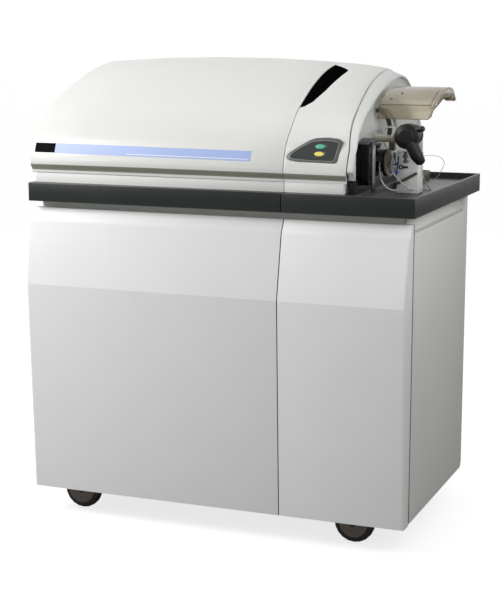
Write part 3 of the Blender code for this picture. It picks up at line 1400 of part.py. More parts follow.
def comb_outline():
    """The ribbed housing seen from above: slots down its front and right faces."""
    x0, x1 = END_WALL + SEAT, PUMP_BOX_RIGHT
    y0, y1 = FRONT + PUMP_BOX_FRONT, FRONT + PUMP_BOX_BACK
    outline = [(x0, y1), (x0, y0)]
    x = x0 + FIN_PITCH / 2
    while x + FIN_SLOT < x1 - FIN_DEEP:
        outline += [(x, y0), (x, y0 + FIN_DEEP), (x + FIN_SLOT, y0 + FIN_DEEP), (x + FIN_SLOT, y0)]
        x += FIN_PITCH
    outline.append((x1, y0))
    y = y0 + FIN_DEEP + FIN_PITCH / 2
    while y + FIN_SLOT < y1 - FIN_PITCH / 2:
        outline += [(x1, y), (x1 - FIN_DEEP, y), (x1 - FIN_DEEP, y + FIN_SLOT), (x1, y + FIN_SLOT)]
        y += FIN_PITCH
    return outline + [(x1, y1)]


def make_pump_housing():
    outline = comb_outline()
    y0, y1 = FRONT + PUMP_BOX_FRONT, FRONT + PUMP_BOX_BACK
    housing = prism("pump_housing", outline, "Z", PUMP_BOX_BOTTOM, PUMP_BOX_TOP)
    for vert in housing.data.vertices:
        if vert.co.z > (PUMP_BOX_BOTTOM + PUMP_BOX_TOP) / 2:
            vert.co.z += PUMP_BOX_SLOPE * (vert.co.y - y0) / (y1 - y0)
    give_finish(housing, (0.012, 0.012, 0.012), 0.4, 0.0)


def make_rotor():
    """Rollers between two discs on a short shaft."""
    y, z = FRONT + ROTOR_SET, ROTOR_Z
    disc_end = ROTOR_DISC_X + ROTOR_DISC_THICK
    back_end = ROTOR_BACK_X + ROTOR_BACK_THICK
    shaft = END_WALL + TRACK_PLATE / 3
    chamfer = ROTOR_DISC_THICK / 4
    profile = [(0, shaft), (ROTOR_SHAFT_R, shaft), (ROTOR_SHAFT_R, ROTOR_BACK_X),
               (ROTOR_BACK_R, ROTOR_BACK_X),
               (ROTOR_BACK_R, back_end), (ROTOR_SHAFT_R * 2, back_end), (ROTOR_SHAFT_R * 2, ROTOR_DISC_X),
               (ROTOR_DISC_R, ROTOR_DISC_X), (ROTOR_DISC_R, disc_end - chamfer),
               (ROTOR_DISC_R - chamfer, disc_end),
               (ROTOR_SCREW_R, disc_end), (ROTOR_SCREW_R, disc_end + ROTOR_SCREW_HIGH),
               (0, disc_end + ROTOR_SCREW_HIGH)]
    rotor = turned("pump_rotor", profile, (0, y, z), "X")
    for k in range(ROLLER_COUNT):
        a = 2 * math.pi * (k + ROLLER_TURN) / ROLLER_COUNT
        centre = (0, y + ROLLER_ORBIT * math.cos(a), z + ROLLER_ORBIT * math.sin(a))
        fuse(rotor, rod("roller", ROLLER_R, centre, "X", back_end - ROTOR_BACK_THICK / 2,
                        ROTOR_DISC_X + chamfer, FEW_STEPS))
    merge_flats(rotor)
    give_finish(rotor, (0.38, 0.33, 0.27), 0.45, 0.0)
    carry(pivot("rotor_axis", (0, y, z)), rotor)


def arc_point(radius, degrees):
    a = math.radians(degrees)
    return (FRONT + ROTOR_SET + radius * math.cos(a), ROTOR_Z + radius * math.sin(a))


def make_track():
    """The shoe over the rollers, on a back plate with the lever's ear."""
    y, z = FRONT + ROTOR_SET, ROTOR_Z
    angles = [TRACK_START + (TRACK_STOP - TRACK_START) * k / TRACK_STEPS for k in range(TRACK_STEPS + 1)]
    shoe = [arc_point(TRACK_OUT_R, a) for a in angles] + [arc_point(TRACK_IN_R, a) for a in reversed(angles)]
    wall = END_WALL + SEAT
    track = rod("pump_track", TRACK_DISC_R, (0, y, z), "X", wall, wall + TRACK_PLATE)
    fuse(track, prism("shoe", shoe, "X", wall + TRACK_PLATE / 2, ROTOR_DISC_X - SEAT * 2))
    cut(track, rod("shaft_bore", ROTOR_SHAFT_R + PIN_PLAY, (0, y, z), "X", wall - CUT_RUN, wall + CUT_RUN,
                   SMALL_STEPS))
    ly, lz = FRONT + LEVER_SET, LEVER_Z
    ear_x = LEVER_X - SEAT - LEVER_THICK
    middle = (TRACK_IN_R + TRACK_OUT_R) / 2
    ear = [arc_point(middle, 140), arc_point(middle, 112)]
    ear += [(ly + LEVER_EYE_R * math.cos(math.radians(a)), lz + LEVER_EYE_R * math.sin(math.radians(a)))
            for a in range(58, 239, 36)]
    fuse(track, prism("lever_ear", ear, "X", ear_x, ear_x + LEVER_THICK))
    fuse(track, rod("lever_pin", LEVER_PIN_R, (0, ly, lz), "X", ear_x + LEVER_THICK / 2,
                    LEVER_X + LEVER_WIDE + LEVER_PIN_R,
                    SMALL_STEPS))
    merge_flats(track)
    give_finish(track, (0.012, 0.012, 0.012), 0.45, 0.0)


def make_lever():
    """The clamp lever over the shoe, turned about a pin along X."""
    y, z = FRONT + LEVER_SET, LEVER_Z
    arc = [(y + LEVER_EYE_R * math.cos(math.radians(a)),
            z + LEVER_EYE_R * math.sin(math.radians(a))) for a in range(90, 271, 30)]
    handle = [(y + LEVER_LONG, z + LEVER_THICK * 0.2), (y + LEVER_LONG, z + LEVER_THICK * 1.2)]
    lever = prism("pump_lever", arc + [(y + LEVER_EYE_R, z - LEVER_EYE_R * 0.6)] + handle, "X", LEVER_X,
                  LEVER_X + LEVER_WIDE)
    cut(lever, rod("lever_bore", LEVER_PIN_R + PIN_PLAY, (0, y, z), "X", LEVER_X - CUT_RUN,
                   LEVER_X + CUT_RUN * 2, SMALL_STEPS))
    give_finish(lever, (0.012, 0.012, 0.012), 0.4, 0.0)
    carry(pivot("pump_lever_axis", (0, y, z)), lever)


def adaptor_end():
    return END_WALL + SEAT + ADAPTOR_FLANGE + ADAPTOR_BODY + ADAPTOR_CAP


def make_adaptor():
    x = END_WALL + SEAT
    flange, body, cap = x + ADAPTOR_FLANGE, x + ADAPTOR_FLANGE + ADAPTOR_BODY, adaptor_end()
    edge = ADAPTOR_CAP / 6
    profile = [(TORCH_R + SEAT, x), (ADAPTOR_FLANGE_R, x), (ADAPTOR_FLANGE_R, flange), (ADAPTOR_R, flange),
               (ADAPTOR_R, body),
               (ADAPTOR_CAP_R, body), (ADAPTOR_CAP_R, cap - edge), (ADAPTOR_CAP_R - edge, cap),
               (ELBOW_R / 2, cap),
               (ELBOW_R / 2, body), (TORCH_R + SEAT, body - edge)]
    piece = turned("injector_adaptor", profile, (0, chamber_axis(), TORCH_Z), "X", MID_STEPS)
    give_finish(piece, (0.60, 0.54, 0.40), 0.45, 0.0)


def make_spray_chamber():
    """Round end cap facing the front, an elbow to the torch and a slanting leg."""
    near = FRONT + HEAD_FRONT
    far = near + HEAD_LONG
    edge = HEAD_R / 6
    profile = [(0, near), (HEAD_R * 0.55, near), (HEAD_R * 0.6, near + edge / 2),
               (HEAD_R - edge, near + edge / 2), (HEAD_R, near + edge * 1.5),
               (HEAD_R, near + HEAD_LONG * 0.45), (HEAD_R - edge, near + HEAD_LONG * 0.5),
               (HEAD_R - edge, far - edge), (HEAD_R - 2 * edge, far),
               (0, far)]
    chamber = turned("spray_chamber", profile, (HEAD_X, 0, HEAD_Z), "Y")
    top = Vector((HEAD_X, FRONT + HEAD_FRONT + HEAD_LONG / 2, HEAD_Z))
    foot = Vector((LEG_FOOT_X, FRONT + LEG_FOOT_SET, LEG_FOOT_Z))
    long = (foot - top).length
    leg = [(0, 0), (LEG_R, 0), (LEG_R, long - LEG_R / 2), (LEG_R * 0.75, long - LEG_R * 0.1),
           (LEG_R / 3, long), (0, long)]
    fuse(chamber, turned("leg", leg, top, None, MID_STEPS, direction=(foot - top).normalized()))
    start = adaptor_end() + SEAT
    fuse(chamber, turned("elbow", [(0, start), (ELBOW_R, start), (ELBOW_R, HEAD_X), (0, HEAD_X)],
                         (0, chamber_axis(), TORCH_Z), "X", SMALL_STEPS))
    give_finish(chamber, (0.016, 0.015, 0.014), 0.5, 0.0)


def make_nebulizer():
    """The nebulizer body, pushed into the upper right of the end cap."""
    way = Vector((HEAD_R * 0.85, 0, KNOB_RISE)).normalized()
    y = FRONT + HEAD_FRONT + HEAD_LONG * 0.25
    start = Vector((HEAD_X, y, HEAD_Z)) + way * (HEAD_R + SEAT * 2)
    profile = [(0, 0), (KNOB_R * 0.7, 0), (KNOB_R * 0.7, KNOB_LONG * 0.2), (KNOB_R, KNOB_LONG * 0.3),
               (KNOB_R, KNOB_LONG * 0.75), (KNOB_R * 0.5, KNOB_LONG),
               (0, KNOB_LONG)]
    piece = turned("nebulizer", profile, start, None, SMALL_STEPS, direction=way)
    give_finish(piece, (0.016, 0.015, 0.014), 0.45, 0.0)


def make_valve():
    floor = TOP_HEIGHT - TRAY_DEEP + SEAT
    near, far = FRONT + VALVE_FRONT, FRONT + VALVE_BACK
    block = box("valve_block", (VALVE_LEFT, near, floor), (VALVE_RIGHT, far, VALVE_TOP))
    bevel(block, VALVE_EDGE / 2, 2)
    pin_front = near - HANDLE_WIDE - SEAT * 3
    fuse(block, rod("handle_pin", HANDLE_PIN_R, (HANDLE_X, 0, HANDLE_Z), "Y", pin_front, near + VALVE_EDGE,
                    SMALL_STEPS))
    give_finish(block, (0.80, 0.81, 0.80), 0.4, 0.0)
    arc = [(HANDLE_X + HANDLE_HUB_R * math.cos(math.radians(a)),
            HANDLE_Z + HANDLE_HUB_R * math.sin(math.radians(a))) for a in range(30, 331, 30)]
    tip = [(HANDLE_X + HANDLE_LONG, HANDLE_Z - HANDLE_THICK / 2),
           (HANDLE_X + HANDLE_LONG, HANDLE_Z + HANDLE_THICK / 2)]
    lever = prism("valve_lever", arc + tip, "Y", near - SEAT - HANDLE_WIDE, near - SEAT)
    cut(lever, rod("handle_bore", HANDLE_PIN_R + PIN_PLAY, (HANDLE_X, 0, HANDLE_Z), "Y", near - CUT_RUN,
                   near + CUT_RUN, SMALL_STEPS))
    give_finish(lever, (0.012, 0.012, 0.012), 0.4, 0.0)
    carry(pivot("valve_lever_axis", (HANDLE_X, near, HANDLE_Z)), lever)


def make_trough():
    floor = TOP_HEIGHT - TRAY_DEEP + SEAT
    low = (TROUGH_LEFT, FRONT + TROUGH_FRONT, floor)
    high = (TROUGH_LEFT + TROUGH_WIDE, FRONT + TROUGH_BACK, floor + TROUGH_HIGH)
    trough = box("drain_trough", low, high)
    wall = TROUGH_WALL
    cut(trough, box("trough_core", (low[0] + wall, low[1] + wall, low[2] + wall),
                    (high[0] - wall, high[1] - wall, high[2] + CUT_RUN)))
    give_finish(trough, (0.33, 0.29, 0.21), 0.5, 0.0)


def bay(point):
    """A route point right of the end wall, behind the worktop's front face and above the worktop."""
    return Vector((END_WALL + point[0], FRONT + point[1], TOP_HEIGHT + point[2]))


def along_bay(points):
    return [bay(point) for point in points]


def square_ended(points, samples):
    """A smooth route whose first and last stretches are straight, so that its ends sit square."""
    return [Vector(points[0])] + smooth_route(points[1:-1], samples) + [Vector(points[-1])]


def small_tube(name, points, radius, colour):
    route = square_ended(points, 2)
    return give_finish(swept(name, route, [radius] * len(route), 6), colour, 0.35, 0.0)


def make_hose():
    """The ribbed coolant hose, from the top of the adaptor to the end panel."""
    middle = along_bay(HOSE_ROUTE)
    start = Vector((middle[0].x, chamber_axis(), TORCH_Z + ADAPTOR_R + SEAT))
    top = TOP_HEIGHT + HOSE_TOP_RISE
    end = Vector((wall_at(top - HOSE_R) + SEAT, FRONT + HOSE_TOP_SET, top))
    route = square_ended([start] + middle + [end], HOSE_SAMPLES)
    ribs = [HOSE_R if k % 2 else HOSE_R - HOSE_RIB for k in range(len(route))]
    hose = swept("coolant_hose", route, ribs, 10)
    below_start = start - Vector((0, 0, HOSE_BORE))
    past_end = end - Vector((HOSE_BORE, 0, 0))
    core = square_ended([below_start] + middle + [past_end], 2)
    cut(hose, swept("hose_bore", core, [HOSE_BORE] * len(core), 8))
    give_finish(hose, (0.018, 0.018, 0.018), 0.5, 0.0)


def make_gas_tube():
    middle = along_bay(GAS_ROUTE)
    start = Vector((middle[0].x, chamber_axis(), TORCH_Z + ELBOW_R + SEAT))
    top = TOP_HEIGHT + GAS_TOP_RISE
    end = Vector((wall_at(top - GAS_TUBE_R) + SEAT, FRONT + GAS_TOP_SET, top))
    route = square_ended([start] + middle + [end], 3)
    give_finish(swept("argon_tube", route, [GAS_TUBE_R] * len(route), 8), (0.30, 0.33, 0.31), 0.3, 0.0)


def make_pump_tube():
    """From the trough up round the rollers, and down again to the valve block."""
    floor = TOP_HEIGHT - TRAY_DEEP
    orbit = (ROLLER_ORBIT + ROLLER_R + TRACK_IN_R) / 2
    lane = (ROTOR_BACK_X + ROTOR_BACK_THICK + ROTOR_DISC_X) / 2
    turn = [(lane, *arc_point(orbit, a)) for a in range(0, 181, 30)]
    inlet_x = TROUGH_LEFT + TROUGH_WIDE / 2
    low_set, rim_set = PUMP_INLET_SETS
    outgoing = along_bay(PUMP_OUT_ROUTE)
    points = [Vector((inlet_x, FRONT + low_set, floor + TROUGH_HIGH * 2 / 3)),
              Vector((inlet_x, FRONT + rim_set, floor + TROUGH_HIGH))]
    points += along_bay(PUMP_IN_ROUTE) + [(lane, turn[0][1], ROTOR_Z - orbit / 2)] + turn
    points += [(lane, turn[-1][1], ROTOR_Z - orbit / 2)] + outgoing
    points.append(Vector((outgoing[-1].x, FRONT + VALVE_FRONT - SEAT, outgoing[-1].z)))
    small_tube("pump_tube", points, SMALL_TUBE_R, (0.75, 0.76, 0.73))


def make_tubes():
    drain = along_bay(DRAIN_ROUTE)
    foot = Vector((LEG_FOOT_X, FRONT + LEG_FOOT_SET, LEG_FOOT_Z - SEAT * 2))
    mouth = Vector((TROUGH_LEFT + TROUGH_WIDE + SEAT, FRONT + DRAIN_END_SET, drain[-1].z))
    small_tube("drain_tube", [foot] + drain + [mouth], SMALL_TUBE_R, (0.72, 0.73, 0.70))
    rinse = along_bay(RINSE_ROUTE)
    top = Vector((rinse[0].x, chamber_axis(), TORCH_Z - ADAPTOR_CAP_R - SEAT))
    seat = Vector((rinse[-1].x, FRONT + VALVE_FRONT - SEAT, rinse[-1].z))
    small_tube("rinse_tube", [top] + rinse + [seat], SMALL_TUBE_R, (0.78, 0.79, 0.77))
    small_tube("sample_capillary", along_bay(CAPILLARY_ROUTE), CAPILLARY_R, (0.72, 0.52, 0.46))


# Torch compartment and vacuum line

def make_torch_box():
    base = TOP_HEIGHT + SEAT
    y0, y1 = FRONT + BOX_FRONT, FRONT + BOX_BACK
    case = box("torch_box", (BOX_LEFT, y0, base), (BOX_RIGHT, y1, BOX_TOP))
    wall = BOX_WALL
    cut(case, box("torch_space", (BOX_LEFT + wall, y0 + wall, base + wall),
                  (BOX_RIGHT - wall, y1 - wall, BOX_TOP - wall)))
    mid_x = (BOX_LEFT + BOX_RIGHT) / 2
    mid_y = chamber_axis()
    cut(case, box("view_port", (mid_x - BOX_VIEW_WIDE / 2, mid_y - BOX_VIEW_DEEP / 2, BOX_TOP - CUT_RUN),
                  (mid_x + BOX_VIEW_WIDE / 2, mid_y + BOX_VIEW_DEEP / 2, BOX_TOP + CUT_RUN)))
    cut(case, rod("plasma_port", BOX_PORT_R, (0, mid_y, TORCH_Z), "X", BOX_LEFT - CUT_RUN,
                  BOX_LEFT + CUT_RUN, SMALL_STEPS))
    cut(case, rod("torch_port", TORCH_R + SEAT, (0, mid_y, TORCH_Z), "X", BOX_RIGHT - CUT_RUN,
                  BOX_RIGHT + CUT_RUN, MID_STEPS))
    legs = COIL_PITCH * COIL_TURNS
    block_top = TORCH_Z - COIL_LEG
    fuse(case, box("coil_block", (COIL_START - COIL_BLOCK / 2, mid_y - COIL_BLOCK_WIDE / 2, base + wall / 2),
                   (COIL_START + legs + COIL_BLOCK / 2, mid_y + COIL_BLOCK_WIDE / 2, block_top)))
    give_finish(case, (0.55, 0.56, 0.57), 0.35, 0.9)


def make_torch():
    stop = adaptor_end() - ADAPTOR_CAP - ADAPTOR_CAP / 3
    profile = [(TORCH_BORE_R, TORCH_LEFT), (TORCH_R, TORCH_LEFT), (TORCH_R, stop), (TORCH_BORE_R, stop)]
    torch = turned("torch", profile, (0, chamber_axis(), TORCH_Z), "X", MID_STEPS)
    give_finish(torch, (0.85, 0.87, 0.88), 0.08, 0.0)


def print_least_gap(name, route, radius):
    """Prints how near a tube comes to itself, leaving out points that are close along its length."""
    apart = [0.0]
    for p, q in zip(route, route[1:]):
        apart.append(apart[-1] + (q - p).length)
    least = min((p - q).length for i, p in enumerate(route) for j, q in enumerate(route)
                if apart[j] - apart[i] > math.pi * COIL_R)
    print(name, "least gap to itself in mm:", round((least - 2 * radius) * 1000, 2))


def make_coil():
    """The load coil: unbroken turns of tube round the torch, with a straight leg at each end."""
    y0 = chamber_axis()
    route = []
    steps = 24
    first = (COIL_START, y0 - COIL_R)
    block_top = TORCH_Z - COIL_LEG + SEAT
    route += [Vector((first[0], first[1], block_top + COIL_LEG * share)) for share in (0.0, 0.35, 0.65, 0.9)]
    for k in range(steps * COIL_TURNS + 1):
        a = 2 * math.pi * k / steps
        route.append(Vector((COIL_START + COIL_PITCH * k / steps, y0 - COIL_R * math.cos(a),
                             TORCH_Z + COIL_R * math.sin(a))))
    # The last turn stops on the front side and its leg drops beside it
    last = COIL_START + COIL_PITCH * (COIL_TURNS + 0.4)
    route += [Vector((last, first[1], TORCH_Z - COIL_LEG * share)) for share in (0.12, 0.35, 0.65)]
    route.append(Vector((last, first[1], block_top)))
    print_least_gap("load_coil", route, COIL_WIRE)
    coil = swept("load_coil", route, [COIL_WIRE] * len(route), 6)
    give_finish(coil, (0.72, 0.36, 0.18), 0.25, 1.0)


def make_chamber():
    base = TOP_HEIGHT + SEAT
    y0, y1 = FRONT + CHAMBER_FRONT, FRONT + CHAMBER_BACK
    body = box("vacuum_chamber", (CHAMBER_LEFT, y0, base), (CHAMBER_RIGHT, y1, CHAMBER_TOP))
    stub_low = PUMP_TOP + PUMP_FLANGE + SEAT
    for x in (PUMP_LEFT_X, PUMP_RIGHT_X):
        fuse(body, rod("stub", CHAMBER_STUB_R, (x, chamber_axis(), 0), "Z", stub_low, base + COVER_THICK))
    cut(body, rod("chamber_bore", CHAMBER_BORE, (0, chamber_axis(), TORCH_Z), "X", CHAMBER_LEFT - CUT_RUN,
                  CHAMBER_RIGHT + CUT_RUN))
    for x in (PUMP_LEFT_X, PUMP_RIGHT_X):
        cut(body, rod("stub_bore", CHAMBER_STUB_BORE, (x, chamber_axis(), 0), "Z", stub_low - CUT_RUN,
                      TORCH_Z))
    merge_flats(body)
    give_finish(body, (0.55, 0.56, 0.58), 0.35, 0.9)
    cover = box("chamber_cover", (CHAMBER_LEFT + COVER_EDGE, y0 + COVER_EDGE, CHAMBER_TOP + SEAT),
                (CHAMBER_RIGHT - COVER_EDGE, y1 - COVER_EDGE, CHAMBER_TOP + SEAT + COVER_THICK))
    top = CHAMBER_TOP + SEAT + COVER_THICK
    margin = COVER_EDGE * 2
    span = CHAMBER_RIGHT - CHAMBER_LEFT - 2 * margin
    for i in range(BOLT_COLUMNS):
        x = CHAMBER_LEFT + margin + span * i / (BOLT_COLUMNS - 1)
        for y in (y0 + margin, y1 - margin):
            fuse(cover, rod("bolt", BOLT_R, (x, y, 0), "Z", top - BOLT_HIGH / 2, top + BOLT_HIGH, 6))
    merge_flats(cover)
    give_finish(cover, (0.60, 0.61, 0.62), 0.35, 0.9)


def make_detector():
    y = chamber_axis()
    start = CHAMBER_LEFT - SEAT
    wall = DETECTOR_FLANGE
    end = start - DETECTOR_LONG
    step = start - DETECTOR_FLANGE
    profile = [(0, end), (DETECTOR_R - wall / 2, end), (DETECTOR_R, end + wall / 2), (DETECTOR_R, step),
               (DETECTOR_FLANGE_R, step),
               (DETECTOR_FLANGE_R, start), (CHAMBER_BORE, start), (CHAMBER_BORE, end + wall), (0, end + wall)]
    piece = turned("detector_housing", profile, (0, y, TORCH_Z), "X", MID_STEPS)
    give_finish(piece, (0.50, 0.51, 0.53), 0.35, 0.9)


def make_interface():
    """The water-cooled face between chamber and torch box, with the sampler cone in it."""
    y = chamber_axis()
    start = CHAMBER_RIGHT + SEAT
    step = start + FACE_FLANGE
    nose = BOX_LEFT - SEAT
    face_r = BOX_PORT_R * 1.8
    flange = box("interface_block", (start, y - FACE_FLANGE_R, TOP_HEIGHT + SEAT),
                 (step, y + FACE_FLANGE_R, CHAMBER_TOP))
    fuse(flange, rod("interface_body", FACE_BODY_R, (0, y, TORCH_Z), "X", step - FACE_FLANGE / 4,
                     nose - FACE_FLANGE))
    outline = [(y + face_r * math.cos(math.radians(a)),
                TORCH_Z + face_r * math.sin(math.radians(a)) * 0.8) for a in range(0, 181, 15)]
    outline += [(y - face_r, TOP_HEIGHT + SEAT * 2), (y + face_r, TOP_HEIGHT + SEAT * 2)]
    fuse(flange, prism("interface_nose", outline, "X", nose - FACE_FLANGE * 1.25, nose))
    bore, seat_r = CONE_BASE_R * 0.5, CONE_BASE_R * 0.8
    floor = nose - FACE_FLANGE / 2 - SEAT
    stages = [(0, start - CUT_RUN), (bore, start - CUT_RUN), (bore, floor), (seat_r, floor),
              (seat_r, nose + CUT_RUN), (0, nose + CUT_RUN)]
    cut(flange, turned("beam_bore", stages, (0, y, TORCH_Z), "X", MID_STEPS))
    merge_flats(flange)
    give_finish(flange, (0.55, 0.56, 0.58), 0.35, 0.9)
    seat_x = nose - FACE_FLANGE / 2
    r = CONE_BASE_R * 0.8 - SEAT
    profile = [(CONE_BASE_R * 0.5, seat_x), (r, seat_x), (r, nose), (CONE_TIP_R, nose + CONE_LONG * 0.6),
               (CONE_BORE_R, nose + CONE_LONG * 0.6), (CONE_BORE_R, nose + CONE_LONG * 0.55),
               (CONE_BASE_R * 0.5, nose - FACE_FLANGE / 4)]
    cone = turned("sampler_cone", profile, (0, y, TORCH_Z), "X", MID_STEPS)
    give_finish(cone, (0.52, 0.50, 0.46), 0.3, 1.0)


def make_turbo_pumps():
    y = chamber_axis()
    for name, x in (("left_turbo_pump", PUMP_LEFT_X), ("right_turbo_pump", PUMP_RIGHT_X)):
        top = PUMP_TOP + PUMP_FLANGE
        low = top - PUMP_LONG
        rib = PUMP_R / 5
        profile = [(0, low), (PUMP_R * 0.6, low), (PUMP_R * 0.6, low + PUMP_LONG / 4),
                   (PUMP_R, low + PUMP_LONG / 3)]
        z = low + PUMP_LONG / 3
        while z + 3 * rib < PUMP_TOP - rib:
            profile += [(PUMP_R, z + rib), (PUMP_R - rib / 2, z + rib), (PUMP_R - rib / 2, z + 2 * rib),
                        (PUMP_R, z + 2 * rib)]
            z += 2 * rib
        profile += [(PUMP_R, PUMP_TOP), (PUMP_FLANGE_R, PUMP_TOP), (PUMP_FLANGE_R, top),
                    (CHAMBER_STUB_BORE, top),
                    (CHAMBER_STUB_BORE, low + PUMP_LONG / 2), (0, low + PUMP_LONG / 2)]
        pump = turned(name, profile, (x, y, 0), "Z", MID_STEPS)
        give_finish(pump, (0.45, 0.46, 0.47), 0.4, 0.8)


# Cabinet equipment

def make_rack():
    """A card cage with a row of module fronts, open at the back."""
    base = FRAME_BOTTOM + TUBE + SEAT
    y0, y1 = FRONT + RACK_FRONT, FRONT + RACK_BACK
    rack = box("electronics_rack", (RACK_LEFT, y0, base), (RACK_RIGHT, y1, base + RACK_HIGH))
    wall = RACK_WALL
    cut(rack, box("rack_space", (RACK_LEFT + wall, y0 + wall * 3, base + wall),
                  (RACK_RIGHT - wall, y1 + CUT_RUN, base + RACK_HIGH - wall)))
    pitch = (RACK_RIGHT - RACK_LEFT - 2 * wall) / CARD_COUNT
    for i in range(1, CARD_COUNT):
        x = RACK_LEFT + wall + i * pitch
        cut(rack, box("card_gap", (x - CARD_GAP / 2, y0 - CUT_RUN, base + wall),
                      (x + CARD_GAP / 2, y0 + CARD_GAP, base + RACK_HIGH - wall)))
    give_finish(rack, (0.35, 0.36, 0.37), 0.45, 0.5)


def make_generator():
    """The radio-frequency generator: a steel case with cooling slots in its front, open at the back."""
    base = FRAME_BOTTOM + TUBE + SEAT
    y0, y1 = FRONT + GENERATOR_FRONT, FRONT + GENERATOR_BACK
    case = box("rf_generator", (GENERATOR_LEFT, y0, base), (GENERATOR_RIGHT, y1, base + GENERATOR_HIGH))
    wall = GENERATOR_WALL
    cut(case, box("generator_space", (GENERATOR_LEFT + wall, y0 + wall, base + wall),
                  (GENERATOR_RIGHT - wall, y1 + CUT_RUN, base + GENERATOR_HIGH - wall)))
    for i in range(GENERATOR_SLOTS):
        z = base + GENERATOR_HIGH / 3 + i * LOUVRE_PITCH
        cut(case, box("generator_slot", (GENERATOR_LEFT + wall * 6, y0 - CUT_RUN, z),
                      (GENERATOR_RIGHT - wall * 6, y0 + CUT_RUN / 2, z + LOUVRE_HIGH)))
    give_finish(case, (0.40, 0.41, 0.42), 0.4, 0.7)


def make_inlet():
    """The mains inlet and the rocker switch's well, set through the rear panel."""
    y = FRONT + FRAME_BACK + SEAT + REAR_SHEET + SEAT
    plate = box("mains_inlet", (INLET_X - INLET_WIDE / 2, y, INLET_Z - INLET_HIGH / 2),
                (INLET_X + INLET_WIDE / 2, y + INLET_LIP, INLET_Z + INLET_HIGH / 2))
    half_wide, half_high = INLET_WIDE / 2 - INLET_LIP - SEAT, INLET_HIGH / 2 - INLET_LIP - SEAT
    fuse(plate, box("inlet_body", (INLET_X - half_wide, y - INLET_DEEP, INLET_Z - half_high),
                    (INLET_X + half_wide, y + INLET_LIP / 2, INLET_Z + half_high)))
    x = INLET_X - INLET_WIDE / 4
    cut(plate, box("socket", (x - SOCKET_WIDE / 2, y + INLET_LIP - SOCKET_DEEP, INLET_Z - SOCKET_HIGH / 2),
                   (x + SOCKET_WIDE / 2, y + CUT_RUN, INLET_Z + SOCKET_HIGH / 2)))
    sx = INLET_X + INLET_WIDE / 4
    gap = SWITCH_PLAY
    cut(plate, box("switch_well", (sx - SWITCH_WIDE / 2 - gap, y + INLET_LIP - SWITCH_DEEP - gap * 3,
                                   INLET_Z - SWITCH_HIGH / 2 - gap),
                   (sx + SWITCH_WIDE / 2 + gap, y + CUT_RUN, INLET_Z + SWITCH_HIGH / 2 + gap)))
    pin_y = y + INLET_LIP - SWITCH_DEEP / 3
    fuse(plate, rod("switch_pin", SWITCH_PIN_R, (0, pin_y, INLET_Z), "X", sx - SWITCH_WIDE,
                    sx + SWITCH_WIDE * 0.6, FEW_STEPS))
    give_finish(plate, (0.012, 0.012, 0.012), 0.45, 0.0)
    tilt = math.radians(SWITCH_TILT)
    half = SWITCH_HIGH / 2 - SWITCH_PLAY
    face = y + INLET_LIP + SWITCH_PLAY
    root = y + INLET_LIP - SWITCH_DEEP
    outline = [(root + half * 0.3, INLET_Z - half * 0.9), (face, INLET_Z - half),
               (face - half * math.tan(tilt) * 0.3, INLET_Z), (face + half * math.tan(tilt), INLET_Z + half),
               (root + half * 0.3, INLET_Z + half * 0.9), (root, INLET_Z)]
    rocker = prism("main_switch", outline, "X", sx - SWITCH_WIDE / 2, sx + SWITCH_WIDE / 2)
    cut(rocker, rod("rocker_bore", SWITCH_PIN_R + PIN_PLAY, (0, pin_y, INLET_Z), "X", sx - SWITCH_WIDE,
                    sx + SWITCH_WIDE, FEW_STEPS))
    give_finish(rocker, (0.010, 0.010, 0.010), 0.35, 0.0)
    carry(pivot("main_switch_axis", (sx, pin_y, INLET_Z)), rocker)


def main():
    clear_scene()
    make_worktop()
    make_neck()
    make_frame()
    make_doors()
    make_side_panels()
    make_rear_panel()
    make_casters()
    make_hoods()
    make_end_panel()
    make_visor()
    make_pump_housing()
    make_rotor()
    make_track()
    make_lever()
    make_adaptor()
    make_spray_chamber()
    make_nebulizer()
    make_valve()
    make_trough()
    make_hose()
    make_gas_tube()
    make_pump_tube()
    make_tubes()
    make_torch_box()
    make_torch()
    make_coil()
    make_chamber()
    make_detector()
    make_interface()
    make_turbo_pumps()
    make_rack()
    make_generator()
    make_inlet()


main()
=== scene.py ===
"""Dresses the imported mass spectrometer: smooth skins, finishes, small trim, studio stage and camera."""

import json
import math
from functools import partial

import bpy
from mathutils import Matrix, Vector


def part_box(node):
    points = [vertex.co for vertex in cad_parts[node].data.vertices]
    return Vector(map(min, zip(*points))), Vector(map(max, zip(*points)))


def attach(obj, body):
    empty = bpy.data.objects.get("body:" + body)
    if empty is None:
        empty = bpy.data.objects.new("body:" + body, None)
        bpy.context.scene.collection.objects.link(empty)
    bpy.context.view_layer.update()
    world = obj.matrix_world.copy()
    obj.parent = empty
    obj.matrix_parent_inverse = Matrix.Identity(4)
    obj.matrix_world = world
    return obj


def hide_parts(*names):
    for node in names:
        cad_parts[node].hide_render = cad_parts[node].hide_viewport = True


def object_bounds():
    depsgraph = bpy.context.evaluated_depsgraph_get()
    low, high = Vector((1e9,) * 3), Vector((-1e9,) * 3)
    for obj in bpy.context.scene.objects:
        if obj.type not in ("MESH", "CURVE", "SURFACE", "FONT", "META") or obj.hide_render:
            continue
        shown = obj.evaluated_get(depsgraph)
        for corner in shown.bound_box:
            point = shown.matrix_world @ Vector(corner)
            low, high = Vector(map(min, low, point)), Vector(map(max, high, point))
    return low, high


bl_info = {
    "name": "Mass spectrometer dressing",
    "version": (1, 0, 0),
    "blender": (4, 5, 0),
    "location": "View3D > Sidebar > Instrument",
    "description": "Skins, finishes, trim and studio for a floor-standing mass spectrometer",
    "category": "Object",
}

